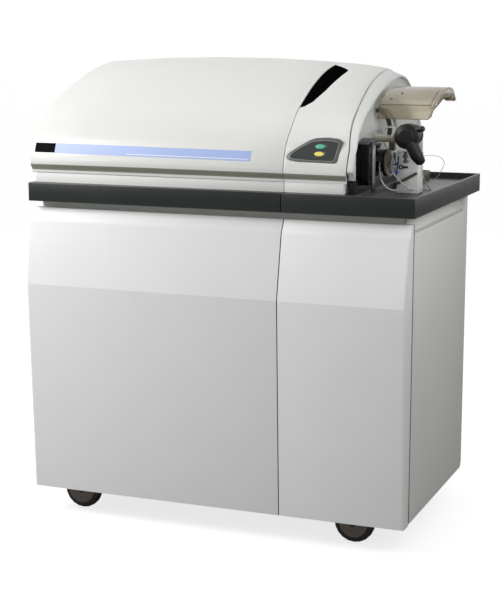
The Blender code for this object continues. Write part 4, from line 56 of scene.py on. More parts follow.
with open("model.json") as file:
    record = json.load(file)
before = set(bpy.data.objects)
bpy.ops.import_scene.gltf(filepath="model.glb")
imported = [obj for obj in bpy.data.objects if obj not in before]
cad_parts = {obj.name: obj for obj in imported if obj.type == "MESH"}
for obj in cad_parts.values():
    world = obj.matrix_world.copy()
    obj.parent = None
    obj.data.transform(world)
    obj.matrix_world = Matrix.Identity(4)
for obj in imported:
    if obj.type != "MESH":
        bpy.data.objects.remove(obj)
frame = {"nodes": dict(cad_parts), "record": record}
NODES = frame["nodes"]
BODY_OF = {node: body for body, nodes in frame["record"]["behaviour"]["bodies"].items() for node in nodes}
CAD_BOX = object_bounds()

# How near vertices are joined, the bend that still counts as flat, and the bend that is shaded smooth
MERGE = 0.00001
FLAT = math.radians(0.2)
SMOOTH = math.radians(35)
SMOOTH_TUBE = math.radians(65)
BEVELLED = math.radians(36)

# The worktop's front face, from which the photograph's depths are measured
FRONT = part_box("left_worktop")[0].y

ACROSS, DEPTH, UP = Vector((1, 0, 0)), Vector((0, 1, 0)), Vector((0, 0, 1))


def linear(code):
    """A linear colour from the six digits of a screen colour."""
    parts = [int(code[i:i + 2], 16) / 255 for i in (0, 2, 4)]
    return tuple(p / 12.92 if p <= 0.04045 else ((p + 0.055) / 1.055) ** 2.4 for p in parts)


# Groups that several finishes share

FLOAT, COLOUR, VECTOR = "NodeSocketFloat", "NodeSocketColor", "NodeSocketVector"
MID_GREY = (0.5, 0.5, 0.5, 1)
SURFACE = [("Color", COLOUR), ("Roughness", FLOAT), ("Normal", VECTOR)]
MASK = [("Mask", FLOAT)]


def group(name, inputs, outputs):
    """A new node group with its sockets, its input node and its output node."""
    tree = bpy.data.node_groups.new(name, "ShaderNodeTree")
    for label, kind, value in inputs:
        socket = tree.interface.new_socket(label, in_out="INPUT", socket_type=kind)
        socket.default_value = value
    for label, kind in outputs:
        tree.interface.new_socket(label, in_out="OUTPUT", socket_type=kind)
    return tree, tree.nodes.new("NodeGroupInput"), tree.nodes.new("NodeGroupOutput")


def feed(tree, value, socket):
    """Sets a socket to a number, or links another socket to it."""
    if isinstance(value, (int, float)):
        socket.default_value = value
    else:
        tree.links.new(value, socket)


def math_node(tree, operation, first, second):
    node = tree.nodes.new("ShaderNodeMath")
    node.operation = operation
    for socket, value in zip(node.inputs, (first, second)):
        feed(tree, value, socket)
    return node.outputs[0]


def noise(tree, scale, detail, vector=None):
    """Soft noise over the piece's own places."""
    node = tree.nodes.new("ShaderNodeTexNoise")
    node.inputs["Detail"].default_value = detail
    feed(tree, scale, node.inputs["Scale"])
    if vector is None:
        vector = tree.nodes.new("ShaderNodeTexCoord").outputs["Object"]
    tree.links.new(vector, node.inputs["Vector"])
    return node.outputs["Fac"]


def surface(tree, start, end, tone, gloss, height, depth, strength):
    """Wires a group's changes of tone and gloss and its relief to its outputs."""
    colour = tree.nodes.new("ShaderNodeHueSaturation")
    tree.links.new(math_node(tree, "ADD", tone, 1.0), colour.inputs["Value"])
    tree.links.new(start.outputs["Color"], colour.inputs["Color"])
    bump = tree.nodes.new("ShaderNodeBump")
    bump.inputs["Distance"].default_value = depth
    feed(tree, strength, bump.inputs["Strength"])
    tree.links.new(height, bump.inputs["Height"])
    tree.links.new(colour.outputs["Color"], end.inputs["Color"])
    tree.links.new(math_node(tree, "ADD", start.outputs["Roughness"], gloss), end.inputs["Roughness"])
    tree.links.new(bump.outputs["Normal"], end.inputs["Normal"])


def grain_group():
    """Small changes of tone and gloss, with a fine moulded or sprayed relief."""
    tree, start, end = group("satin_grain", [
        ("Color", COLOUR, MID_GREY), ("Roughness", FLOAT, 0.4), ("Spread", FLOAT, 0.04),
        ("Scale", FLOAT, 900.0), ("Relief", FLOAT, 0.1)], SURFACE)
    speck = noise(tree, start.outputs["Scale"], detail=2.0)
    cloud = noise(tree, scale=7.0, detail=4.0)
    both = math_node(tree, "MULTIPLY", math_node(tree, "ADD", cloud, speck), 0.5)
    swing = math_node(tree, "SUBTRACT", both, 0.5)
    tone = math_node(tree, "MULTIPLY", math_node(tree, "MULTIPLY", swing, start.outputs["Spread"]), 4.0)
    gloss = math_node(tree, "MULTIPLY", swing, 0.25)
    surface(tree, start, end, tone, gloss, speck, depth=0.0004,
            strength=start.outputs["Relief"])
    return tree


def wear_group():
    """A mask that is 1 along sharp outer edges, broken up by noise."""
    tree, start, end = group("edge_wear", [("Amount", FLOAT, 0.5)], MASK)
    soft = tree.nodes.new("ShaderNodeBevel")
    soft.samples = 4
    soft.inputs["Radius"].default_value = 0.0022
    own = tree.nodes.new("ShaderNodeNewGeometry")
    dot = tree.nodes.new("ShaderNodeVectorMath")
    dot.operation = "DOT_PRODUCT"
    tree.links.new(soft.outputs["Normal"], dot.inputs[0])
    tree.links.new(own.outputs["Normal"], dot.inputs[1])
    bend = math_node(tree, "MULTIPLY", math_node(tree, "SUBTRACT", 1.0, dot.outputs["Value"]), 6.0)
    patch = math_node(tree, "MULTIPLY", bend, noise(tree, scale=60.0, detail=4.0))
    mask = tree.nodes.new("ShaderNodeClamp")
    tree.links.new(math_node(tree, "MULTIPLY", patch, start.outputs["Amount"]), mask.inputs["Value"])
    tree.links.new(mask.outputs["Result"], end.inputs["Mask"])
    return tree


def dust_group():
    """A mask for the dust that lies on faces that look up, in soft patches."""
    tree, start, end = group("settled_dust", [("Amount", FLOAT, 0.3)], MASK)
    place = tree.nodes.new("ShaderNodeNewGeometry")
    split = tree.nodes.new("ShaderNodeSeparateXYZ")
    tree.links.new(place.outputs["Normal"], split.inputs["Vector"])
    facing = math_node(tree, "MAXIMUM", split.outputs["Z"], 0.0)
    patches = math_node(tree, "MULTIPLY", facing, noise(tree, scale=24.0, detail=5.0))
    tree.links.new(math_node(tree, "MULTIPLY", patches, start.outputs["Amount"]), end.inputs["Mask"])
    return tree


def brushed_group():
    """Fine lines along one direction, as brushing or turning leaves on metal."""
    tree, start, end = group("brushed_lines", [
        ("Color", COLOUR, MID_GREY), ("Roughness", FLOAT, 0.3)], SURFACE)
    place = tree.nodes.new("ShaderNodeMapping")
    place.inputs["Scale"].default_value = (900.0, 25.0, 900.0)
    tree.links.new(tree.nodes.new("ShaderNodeTexCoord").outputs["Object"], place.inputs["Vector"])
    lines = noise(tree, scale=1.0, detail=3.0, vector=place.outputs["Vector"])
    swing = math_node(tree, "MULTIPLY", math_node(tree, "SUBTRACT", lines, 0.5), 0.3)
    surface(tree, start, end, swing, swing, lines, depth=0.0003, strength=0.12)
    return tree


MAKERS = {"grain": grain_group, "wear": wear_group, "dust": dust_group, "brushed": brushed_group}
GROUPS = {}


def placed_group(tree, name, **values):
    """A shared group placed in a material; it is made the first time that a material asks for it."""
    if name not in GROUPS:
        GROUPS[name] = MAKERS[name]()
    node = tree.nodes.new("ShaderNodeGroup")
    node.node_tree = GROUPS[name]
    for label, value in values.items():
        node.inputs[label].default_value = value
    return node


def tint(colour):
    """A linear colour from a screen colour's six digits, or from the name of a colour in the panel."""
    chosen = bpy.context.scene.instrument_finishes
    return tuple(getattr(chosen, colour)) if colour in chosen.bl_rna.properties else linear(colour)


def tinted(tree, colour, mask, other):
    """A colour mixed with another where a placed group's mask says so."""
    mix = tree.nodes.new("ShaderNodeMix")
    mix.data_type = "RGBA"
    tree.links.new(mask.outputs["Mask"], mix.inputs["Factor"])
    tree.links.new(colour, mix.inputs["A"])
    mix.inputs["B"].default_value = (*linear(other), 1)
    return mix.outputs["Result"]


def material(name):
    made = bpy.data.materials.new(name)
    made.use_nodes = True
    tree = made.node_tree
    return made, tree, tree.nodes["Principled BSDF"]


def wired(tree, shader, colour, source):
    """Links a colour, and the gloss and relief of a placed group, to the shader."""
    tree.links.new(colour, shader.inputs["Base Color"])
    for label in ("Roughness", "Normal"):
        tree.links.new(source.outputs[label], shader.inputs[label])


DUST = "B4B0A6"


def coated(colour, roughness, spread, scale, relief, name, wear=None, dust=0.0, metallic=0.0, coat=0.0,
           shine=0.5):
    """Paint, plastic or rubber: grain, worn edges where the base shows, and settled dust."""
    made, tree, shader = material(name)
    grain = placed_group(tree, "grain", Color=(*tint(colour), 1), Roughness=roughness, Spread=spread,
                         Scale=scale, Relief=relief)
    out = grain.outputs["Color"]
    if wear:
        base, amount = wear
        out = tinted(tree, out, placed_group(tree, "wear", Amount=amount), base)
    if dust:
        out = tinted(tree, out, placed_group(tree, "dust", Amount=dust), DUST)
    wired(tree, shader, out, grain)
    shader.inputs["Metallic"].default_value = metallic
    shader.inputs["Coat Weight"].default_value = coat
    shader.inputs["Specular IOR Level"].default_value = shine
    return made


def metal(colour, roughness, name):
    """Brushed or turned bare metal."""
    made, tree, shader = material(name)
    lines = placed_group(tree, "brushed", Color=(*linear(colour), 1), Roughness=roughness)
    wired(tree, shader, lines.outputs["Color"], lines)
    shader.inputs["Metallic"].default_value = 1.0
    return made


def clear(colour, roughness, through, ior, name):
    """Glass or clear plastic, with faint smears in its gloss."""
    made, tree, shader = material(name)
    smear = math_node(tree, "MULTIPLY", noise(tree, scale=40.0, detail=4.0), 0.12)
    tree.links.new(math_node(tree, "ADD", smear, roughness), shader.inputs["Roughness"])
    shader.inputs["Base Color"].default_value = (*linear(colour), 1)
    shader.inputs["Transmission Weight"].default_value = through
    shader.inputs["IOR"].default_value = ior
    return made


def chosen_colour(name, what, code):
    """A colour in the panel."""
    return bpy.props.FloatVectorProperty(name=name, description="Colour of " + what, subtype="COLOR",
                                         default=linear(code))


class Finishes(bpy.types.PropertyGroup):
    """The colours that a user would change."""
    hood: chosen_colour("Hood", "the two hoods", "DADBD7")
    door: chosen_colour("Doors", "the doors", "E4E5E4")
    side: chosen_colour("Side panels", "the side panels", "D6D7D1")
    worktop: chosen_colour("Worktop", "the worktop", "212524")
    stripe: chosen_colour("Stripe", "the band on the hood", "A1B4E2")


class Sizes(bpy.types.PropertyGroup):
    """The small size that the dressing adds."""
    edge: bpy.props.FloatProperty(name="Soft edge", description="Width of the softened edges",
                                  unit="LENGTH", default=0.0008, min=0.0001, max=0.003)


MADE = {}


def finish(name):
    """A named finish, made the first time that a piece asks for it."""
    if name not in MADE:
        MADE[name] = RECIPES[name](name=name)
    return MADE[name]


# coated: colour, roughness, spread of tone, scale of grain, relief; metal: colour, roughness;
# clear: colour, roughness, share let through, bend of light
RECIPES = {
    "hood_plastic": partial(coated, "hood", 0.38, 0.02, 1100.0, 0.10, dust=0.10),
    "door_paint": partial(coated, "door", 0.40, 0.02, 1400.0, 0.08, wear=("EDEDEA", 0.35)),
    "side_paint": partial(coated, "side", 0.42, 0.03, 1400.0, 0.08, wear=("DADAD5", 0.35)),
    "plinth_paint": partial(coated, "ECEDEA", 0.45, 0.03, 1200.0, 0.10),
    "worktop_resin": partial(coated, "worktop", 0.36, 0.10, 700.0, 0.20, wear=("6A6E6C", 0.5), dust=0.10),
    "neck_paint": partial(coated, "E8EBE2", 0.6, 0.05, 900.0, 0.15),
    "frame_paint": partial(coated, "5A5C5C", 0.5, 0.05, 900.0, 0.15),
    "grey_paint": partial(coated, "A9ABA8", 0.45, 0.04, 1000.0, 0.12),
    "rear_paint": partial(coated, "B2B4AF", 0.48, 0.04, 1000.0, 0.12),
    "case_metal": partial(metal, "B9BBBD", 0.38),
    "steel": partial(metal, "C4C5C6", 0.28),
    "aluminium": partial(metal, "C9CBCD", 0.32),
    "copper": partial(metal, "D58A5A", 0.22),
    "black_plastic": partial(coated, "161717", 0.42, 0.10, 800.0, 0.2, wear=("4A4B4B", 0.6)),
    "black_gloss": partial(coated, "0A0A0A", 0.2, 0.05, 900.0, 0.05, shine=0.3),
    "bezel_plastic": partial(coated, "5B5E5D", 0.40, 0.06, 900.0, 0.15),
    "green_plastic": partial(coated, "5FB79A", 0.35, 0.05, 900.0, 0.08),
    "yellow_plastic": partial(coated, "E6D870", 0.35, 0.05, 900.0, 0.08),
    "tyre_rubber": partial(coated, "2E2926", 0.62, 0.15, 500.0, 0.35, dust=0.25),
    "fork_paint": partial(coated, "2B2725", 0.45, 0.10, 900.0, 0.15, dust=0.2),
    "panel_plastic": partial(coated, "D3D5D2", 0.42, 0.03, 1000.0, 0.12),
    "beige_plastic": partial(coated, "D2C8AC", 0.42, 0.05, 900.0, 0.12),
    "bronze_plastic": partial(coated, "7A6D5F", 0.38, 0.08, 900.0, 0.15, metallic=0.3),
    "white_plastic": partial(coated, "F1F2F2", 0.38, 0.03, 900.0, 0.10),
    "brown_plastic": partial(coated, "5F5749", 0.5, 0.10, 500.0, 0.2, dust=0.1),
    "ceramic": partial(coated, "B9B6A8", 0.45, 0.04, 600.0, 0.08),
    "matt_black": partial(coated, "121110", 0.45, 0.12, 500.0, 0.25, shine=0.35),
    # Painted shade: a darker grey sheet under the hoods' front lip, where shade falls
    "seal_rubber": partial(coated, "8F8F82", 0.55, 0.06, 900.0, 0.15),
    "bezel_field": partial(coated, "343737", 0.5, 0.06, 900.0, 0.1, shine=0.3),
    "bezel_line": partial(coated, "9A9C9A", 0.4, 0.04, 900.0, 0.05),
    "olive_plastic": partial(coated, "5B5443", 0.5, 0.12, 300.0, 0.2),
    "blue_plastic": partial(coated, "3E56B4", 0.35, 0.05, 900.0, 0.08),
    # Also the dark sheet that paints the shade in the seam between the doors
    "fitting_grey": partial(coated, "5E6364", 0.4, 0.08, 900.0, 0.1),
    "visor_trim": partial(coated, "5D5B4B", 0.4, 0.05, 900.0, 0.05),
    "hub_plastic": partial(coated, "746960", 0.5, 0.10, 500.0, 0.2, dust=0.2),
    # Also the dark strip that paints the shade in the gap at the side panels' front edges
    "hose_rubber": partial(coated, "252625", 0.5, 0.10, 900.0, 0.2),
    "gas_hose": partial(coated, "949A96", 0.3, 0.05, 900.0, 0.05),
    "clear_tube": partial(coated, "DADBD8", 0.2, 0.05, 900.0, 0.03, coat=0.3),
    "pink_tube": partial(coated, "DCB8AC", 0.3, 0.05, 900.0, 0.03),
    "window_tint": partial(coated, "080808", 0.30, 0.05, 900.0, 0.02, shine=0.0),
    "smoked_clear": partial(clear, "B1AA96", 0.14, 0.72, 1.3),
    "quartz": partial(clear, "F2F4F5", 0.03, 0.95, 1.46),
    "stripe_ink": partial(coated, "stripe", 0.35, 0.02, 900.0, 0.03),
    "plate_black": partial(coated, "0C0C0D", 0.5, 0.03, 900.0, 0.03, shine=0.02),
    "stripe_white": partial(coated, "F2F3F4", 0.35, 0.02, 900.0, 0.03),
}


# Modelling helpers

def nothing_selected():
    if bpy.context.object and bpy.context.object.mode != "OBJECT":
        bpy.ops.object.mode_set(mode="OBJECT")
    bpy.ops.object.select_all(action="DESELECT")


def only(piece):
    nothing_selected()
    piece.select_set(True)
    bpy.context.view_layer.objects.active = piece
    return piece


def edit(piece):
    only(piece)
    bpy.ops.object.mode_set(mode="EDIT")
    bpy.ops.mesh.select_all(action="SELECT")


def done():
    bpy.ops.object.mode_set(mode="OBJECT")


def placed(piece):
    """Moves a piece's place into its mesh."""
    only(piece)
    bpy.ops.object.transform_apply(location=True, rotation=True, scale=True)
    return piece


def applied(piece, kind, **values):
    mod = piece.modifiers.new(kind.lower(), kind)
    for label, value in values.items():
        setattr(mod, label, value)
    only(piece)
    bpy.ops.object.modifier_apply(modifier=mod.name)
    return piece


def shaded(piece, angle=SMOOTH):
    only(piece)
    bpy.ops.object.shade_smooth_by_angle(angle=angle)
    return piece


def soft_edges(piece, width, segments=2):
    return applied(piece, "BEVEL", width=width, segments=segments, limit_method="ANGLE",
                   angle_limit=BEVELLED, harden_normals=False)


def put(piece, body, slot, finish_name, *nodes):
    """Gives a piece its finish and its body, and hides the nodes that it stands for. The slot is not used."""
    piece.data.materials.clear()
    piece.data.materials.append(finish(finish_name))
    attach(piece, body)
    if nodes:
        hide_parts(*nodes)
    return piece


def at(x, behind, z):
    """A place given by its depth behind the worktop's front face."""
    return Vector((x, FRONT + behind, z))


def block(name, low, high, edge, segments=2):
    """A box with rounded edges between two corners."""
    nothing_selected()
    bpy.ops.mesh.primitive_cube_add(size=1, location=(low + high) / 2)
    piece = bpy.context.object
    piece.name = name
    piece.scale = high - low
    placed(piece)
    soft_edges(piece, edge, segments)
    return shaded(piece)


def tube(name, route, radius):
    """A round tube on a smooth curve along a route of five or more places."""
    nothing_selected()
    bpy.ops.curve.primitive_nurbs_path_add(location=(0, 0, 0))
    piece = bpy.context.object
    piece.name = name
    spline = piece.data.splines[0]
    spline.points.add(len(route) - len(spline.points))
    for point, place in zip(spline.points, route):
        point.co = (*place, 1)
    spline.use_endpoint_u = True
    spline.order_u = 4
    piece.data.resolution_u = 6
    piece.data.bevel_depth = radius
    piece.data.bevel_resolution = 3
    piece.data.use_fill_caps = True
    only(piece)
    bpy.ops.object.convert(target="MESH")
    return shaded(bpy.context.object, SMOOTH_TUBE)


def line_of(first, last, steps=5):
    return [first.lerp(last, i / (steps - 1)) for i in range(steps)]


def turned(name, start, along, steps, sides=40):
    """A turned piece: each step is a way along its axis and the radius there."""
    nothing_selected()
    bpy.ops.mesh.primitive_circle_add(vertices=sides, radius=steps[0][1], fill_type="NGON",
                                      location=start + along * steps[0][0],
                                      rotation=along.to_track_quat("Z", "Y").to_euler())
    piece = bpy.context.object
    piece.name = name
    placed(piece)
    edit(piece)
    way, radius = steps[0]
    for further, wider in steps[1:]:
        bpy.ops.mesh.extrude_region_move(TRANSFORM_OT_translate={"value": along * (further - way)})
        bpy.ops.transform.resize(value=(wider / radius,) * 3, center_override=start + along * further)
        way, radius = further, wider
    bpy.ops.mesh.select_all(action="SELECT")
    bpy.ops.mesh.normals_make_consistent(inside=False)
    done()
    return shaded(piece)


def laid_on(piece, node):
    """Pushes a sheet back onto a node."""
    return applied(piece, "SHRINKWRAP", target=NODES[node], wrap_method="PROJECT", use_project_y=True,
                   use_positive_direction=True, use_negative_direction=False, offset=0.0)


def keep_faces(piece, wanted):
    """Deletes the faces that are not wanted."""
    bpy.context.tool_settings.mesh_select_mode = (False, False, True)
    only(piece)
    for face in piece.data.polygons:
        face.select = not wanted(face)
    bpy.ops.object.mode_set(mode="EDIT")
    bpy.ops.mesh.delete(type="FACE")
    bpy.ops.mesh.select_mode(type="VERT")
    done()


def joined(piece, *others):
    only(piece)
    for other in others:
        other.select_set(True)
    bpy.ops.object.join()
    return piece


def merged_copy(node, name):
    """A copy of a CAD node with its triangles joined up again."""
    piece = bpy.data.objects.new(name, NODES[node].data.copy())
    bpy.context.scene.collection.objects.link(piece)
    edit(piece)
    bpy.ops.mesh.remove_doubles(threshold=MERGE)
    bpy.ops.mesh.dissolve_limited(angle_limit=FLAT)
    done()
    if piece.data.has_custom_normals:
        bpy.ops.mesh.customdata_custom_splitnormals_clear()
    return piece


def middle_of(node):
    """A node's box and its middle."""
    low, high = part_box(node)
    return low, high, (low + high) / 2


def skin(node, finish_name, edge=None, angle=SMOOTH, segments=2, shape=None):
    """The node's own shape with softened edges and smooth shading, which stands for the node."""
    piece = merged_copy(node, node + "_skin")
    if shape:
        shape(piece)
    width = bpy.context.scene.instrument_sizes.edge if edge is None else edge
    if width:
        soft_edges(piece, width, segments)
    shaded(piece, angle)
    return put(piece, BODY_OF[node], node, finish_name, node)


def face_shade_sheet(node, finish_name, thickness, wanted):
    """A thin sheet of painted shade on the wanted faces of a node's skin."""
    shade_sheet = bpy.data.objects.new(node + "_seal", bpy.data.objects[node + "_skin"].data.copy())
    bpy.context.scene.collection.objects.link(shade_sheet)
    keep_faces(shade_sheet, wanted)
    applied(shade_sheet, "SOLIDIFY", thickness=thickness, offset=1.0)
    shaded(shade_sheet)
    return put(shade_sheet, BODY_OF[node], node, finish_name)


def skins(rows):
    """Skins for rows of node, finish and width of soft edge; None is the width in the panel."""
    for node, finish_name, edge in rows:
        skin(node, finish_name, edge)


def bare(node, finish_name):
    """A node that keeps its CAD mesh and gets a finish."""
    mesh = NODES[node].data
    mesh.materials.clear()
    mesh.materials.append(finish(finish_name))


# Operators

FLOOR_SIZE, FLOOR_GREY, FLOOR_GLOW = 60, 0.42, 0.77
# The sky as light, what it adds where it is seen, and how mirrors brighten towards its far side
SKY_LIGHT, SKY_SEEN, MIRROR_RISE, MIRROR_MOST = 0.40, 0.60, 1.6, 0.6
# Each lamp's name, place, aim, disc size and power
LAMPS = (
    ("key_lamp", (-2.3, -1.9, 2.5), (-0.2, -0.2, 0.9), 1.6, 82),
    ("top_lamp", (0.0, 0.4, 4.4), (0.0, 0.1, 1.0), 2.4, 20),
    ("side_lamp", (2.9, 0.3, 2.3), (0.5, -0.1, 0.9), 1.4, 5),
    ("front_lamp", (2.4, -3.0, 2.3), (0.3, -0.1, 0.9), 1.5, 9),
    ("bay_lamp", (1.35, -0.62, 1.50), (0.5, -0.1, 1.12), 0.5, 3.2),
)
# The camera that was fitted to the photograph
CAMERA_PLACE, CAMERA_YAW, CAMERA_PITCH = (1.7334, -4.4597, 1.5462), 0.3768, 0.1814
CAMERA_LENS, SENSOR_HEIGHT = 90.126, 36


class INSTRUMENT_OT_stage(bpy.types.Operator):
    """Adds the pale floor, the studio lights and the photograph's camera"""
    bl_idname = "instrument.stage"
    bl_label = "Stage"

    def execute(self, context):
        context.scene.view_settings.view_transform = "Standard"
        self.add_floor()
        self.light_world(context.scene)
        for lamp in LAMPS:
            self.add_lamp(*lamp)
        self.add_camera(context.scene)
        return {"FINISHED"}

    def seen_directly(self, tree):
        """A light path node, and 1 where the camera looks straight or through glass."""
        path = tree.nodes.new("ShaderNodeLightPath")
        outputs = path.outputs
        return path, math_node(tree, "MAXIMUM", outputs["Is Camera Ray"], outputs["Is Transmission Ray"])

    def add_floor(self):
        nothing_selected()
        bpy.ops.mesh.primitive_plane_add(size=FLOOR_SIZE, location=(0, 0, 0))
        floor = bpy.context.object
        floor.name = "floor"
        placed(floor)
        made, tree, shader = material("pale_floor")
        shader.inputs["Base Color"].default_value = (FLOOR_GREY, FLOOR_GREY, FLOOR_GREY, 1)
        shader.inputs["Roughness"].default_value = 0.8
        _, seen = self.seen_directly(tree)
        shader.inputs["Emission Color"].default_value = (1, 1, 1, 1)
        tree.links.new(math_node(tree, "MULTIPLY", seen, FLOOR_GLOW), shader.inputs["Emission Strength"])
        floor.data.materials.append(made)

    def light_world(self, scene):
        """A white sky that the camera sees brighter than it lights."""
        world = bpy.data.worlds.new("studio")
        world.use_nodes = True
        scene.world = world
        tree = world.node_tree
        back = tree.nodes["Background"]
        path, seen = self.seen_directly(tree)
        split = tree.nodes.new("ShaderNodeSeparateXYZ")
        tree.links.new(tree.nodes.new("ShaderNodeTexCoord").outputs["Generated"], split.inputs["Vector"])
        behind = math_node(tree, "MAXIMUM", split.outputs["Y"], 0.0)
        rising = math_node(tree, "MULTIPLY", behind, MIRROR_RISE)
        mirrored = math_node(tree, "MULTIPLY", path.outputs["Is Glossy Ray"],
                             math_node(tree, "MINIMUM", rising, MIRROR_MOST))
        shown = math_node(tree, "ADD", math_node(tree, "MULTIPLY", seen, SKY_SEEN), mirrored)
        back.inputs["Color"].default_value = (1, 1, 1, 1)
        tree.links.new(math_node(tree, "ADD", shown, SKY_LIGHT), back.inputs["Strength"])

    def add_lamp(self, name, place, aim, size, power):
        nothing_selected()
        bpy.ops.object.light_add(type="AREA", location=place)
        lamp = bpy.context.object
        lamp.name = name
        lamp.data.shape = "DISK"
        lamp.data.size = size
        lamp.data.energy = power
        lamp.visible_camera = False
        lamp.rotation_euler = (Vector(aim) - Vector(place)).to_track_quat("-Z", "Y").to_euler()

    def add_camera(self, scene):
        nothing_selected()
        bpy.ops.object.camera_add(location=CAMERA_PLACE, rotation=(math.pi / 2 - CAMERA_PITCH, 0, CAMERA_YAW))
        camera = bpy.context.object
        camera.name = "photo_camera"
        camera.data.sensor_fit = "VERTICAL"
        camera.data.sensor_height = SENSOR_HEIGHT
        camera.data.lens = CAMERA_LENS
        scene.camera = camera


# The rounding of a door's outer upright edge, and the least height of a piece of that edge
DOOR_ROUND, UPRIGHT = 0.007, 0.02
# How near vertices are to the doors' outer left and right ends and to their foremost line to be on them
ON_LEFT, ON_RIGHT, ON_LINE = 0.003, 0.0005, 0.0006
# The most that y can be in the direction of a face that looks to the front
FACES_FRONT = -0.7
# A door's painted shade in the seam, a thin dark sheet: its thickness, how far a face that has it turns
# towards the seam, and how near it is
SEAM_SHADE_THICK, SEAM_TURN, SEAM_REACH = 0.0003, 0.35, 0.003
# The dark strip that paints the shade in the gap at a side panel's front edge: how far it stands out at the
# sides and in front, its reach back, its foot and its top
GAP_SHADE_SIDE, GAP_SHADE_FRONT, GAP_SHADE_BACK, GAP_SHADE_FOOT, GAP_SHADE_TOP = 0.0003, 0.0021, 0.0100, 0.006, 0.9840
CABINET = (
    ("rear_panel", "rear_paint", 0.0004), ("neck_frame", "neck_paint", None),
    ("mains_inlet", "black_plastic", 0.0004), ("main_switch", "black_gloss", 0.0004))


class INSTRUMENT_OT_cabinet(bpy.types.Operator):
    """Dresses the doors, side panels, rear panel, worktop and frame"""
    bl_idname = "instrument.cabinet"
    bl_label = "Cabinet"

    def execute(self, context):
        self.door("left_door", 1)
        self.door("right_door", -1)
        for node in ("left_side_panel", "right_side_panel"):
            skin(node, "side_paint", edge=0.0012)
            # A dark strip of painted shade in the gap at the panel's front edge
            self.panel_seal(node)
        for node in ("left_worktop", "right_tray"):
            skin(node, "worktop_resin", edge=0.0015, segments=3)
        bare("chassis_frame", "frame_paint")
        skins(CABINET)
        return {"FINISHED"}

    def door(self, node, inward):
        """A door with a crisp break line and a thin dark sheet of painted shade along the seam."""
        mesh = skin(node, "door_paint", edge=0.0015, segments=3, shape=self.round_side).data
        foremost = {vertex.index for vertex in mesh.vertices if vertex.co.y < CAD_BOX[0].y + ON_LINE}
        for edge in mesh.edges:
            edge.use_edge_sharp |= foremost.issuperset(edge.vertices)
        seam = max(inward * corner.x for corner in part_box(node))
        # A thin dark sheet on the faces turned into the seam paints the shade in the gap
        face_shade_sheet(node, "fitting_grey", SEAM_SHADE_THICK, lambda face: inward * face.normal.x > SEAM_TURN
                  and inward * face.center.x > seam - SEAM_REACH)

    def round_side(self, piece):
        """Rounds a door's outer upright edge more than the rest."""
        mesh = piece.data
        left, right = CAD_BOX[0].x + ON_LEFT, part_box("right_door")[1].x - ON_RIGHT
        bpy.context.tool_settings.mesh_select_mode = (False, True, False)
        front = {key for face in mesh.polygons if face.normal.y < FACES_FRONT for key in face.edge_keys}
        only(piece)
        for elements in (mesh.vertices, mesh.edges, mesh.polygons):
            for element in elements:
                element.select = False
        for side in mesh.edges:
            ends = [mesh.vertices[i].co for i in side.vertices]
            outer = all(end.x < left or end.x > right for end in ends)
            side.select = outer and side.key in front and abs(ends[0].z - ends[1].z) > UPRIGHT
        bpy.ops.object.mode_set(mode="EDIT")
        bpy.ops.mesh.bevel(offset=DOOR_ROUND, segments=4, affect="EDGES")
        bpy.ops.mesh.select_mode(type="VERT")
        done()

    def panel_seal(self, node):
        """A dark strip of painted shade down a side panel's front edge, where the gap to the door is in
        shade.
        """
        low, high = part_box(node)
        shade_sheet = block(node + "_seal", Vector((low.x - GAP_SHADE_SIDE, low.y - GAP_SHADE_FRONT, low.z + GAP_SHADE_FOOT)),
                     Vector((high.x + GAP_SHADE_SIDE, low.y + GAP_SHADE_BACK, GAP_SHADE_TOP)), 0.0005)
        # The dark strip stands in for the shade in the gap between door and side panel
        put(shade_sheet, "cabinet", node, "hose_rubber")


# A wheel's hub disc, from its rim in: height over the wheel's face and radius
HUB_STEPS = ((-0.0006, 0.0450), (0.0006, 0.0447), (0.0008, 0.0440), (0.0008, 0.0400), (0.0001, 0.0393),
             (0.0001, 0.0310), (0.0009, 0.0303), (0.0009, 0.0250), (0.0001, 0.0243), (0.0001, 0.0125),
             (0.0016, 0.0120), (0.0020, 0.0110), (0.0020, 0.0050), (0.0012, 0.0044))


class INSTRUMENT_OT_casters(bpy.types.Operator):
    """Dresses the forks and wheels"""
    bl_idname = "instrument.casters"
    bl_label = "Casters"

    def execute(self, context):
        for end in ("front", "rear"):
            for side in ("left", "right"):
                skin(f"{end}_{side}_fork", "fork_paint", edge=0.0005)
                skin(f"{end}_{side}_wheel", "tyre_rubber", edge=0.0006)
                self.hub(f"{end}_{side}")
        return {"FINISHED"}

    def hub(self, corner):
        """A ringed hub disc on both faces of a wheel."""
        node = corner + "_wheel"
        low, high, middle = middle_of(node)
        for name, side in (("near", -1), ("far", 1)):
            start = Vector((middle.x, high.y if side > 0 else low.y, middle.z))
            disc = turned(f"{corner}_hub_{name}", start, Vector((0, side, 0)), HUB_STEPS)
            put(disc, BODY_OF[node], node, "hub_plastic")


# Heights on the hoods' front lip: where its drop starts, its lower edge, its underside, the ledge below it
LIP_HIGH, LIP_LOW, LIP_UNDER, LEDGE = 1.149, 1.1325, 1.1285, 1.1045
# Its drop, the share of it that the underside adds, and the height over which that share grows
LIP_DROP, UNDER_SHARE, UNDER_RUN = 0.011, 0.55, 0.0165
# Depths behind the worktop's front: the lip's reach, its inner face, the faces that look down, and where the
# lip's inner and outer faces end below the ledge
LIP_REACH, LIP_INNER, LIP_DOWN, INNER_END, OUTER_END = 0.06, 0.0335, 0.034, 0.0297, 0.0284
# The height above which the lip has an inner face, and the most that z and y can be in the direction of
# a face that gets the darker sheet of painted shade under the lip
LIP_FOOT, LOOKS_DOWN, LOOKS_OUT = 1.116, -0.35, -0.1
# Thickness of the darker sheet that paints the shade under the lip
LIP_SHADE_THICK = 0.0005

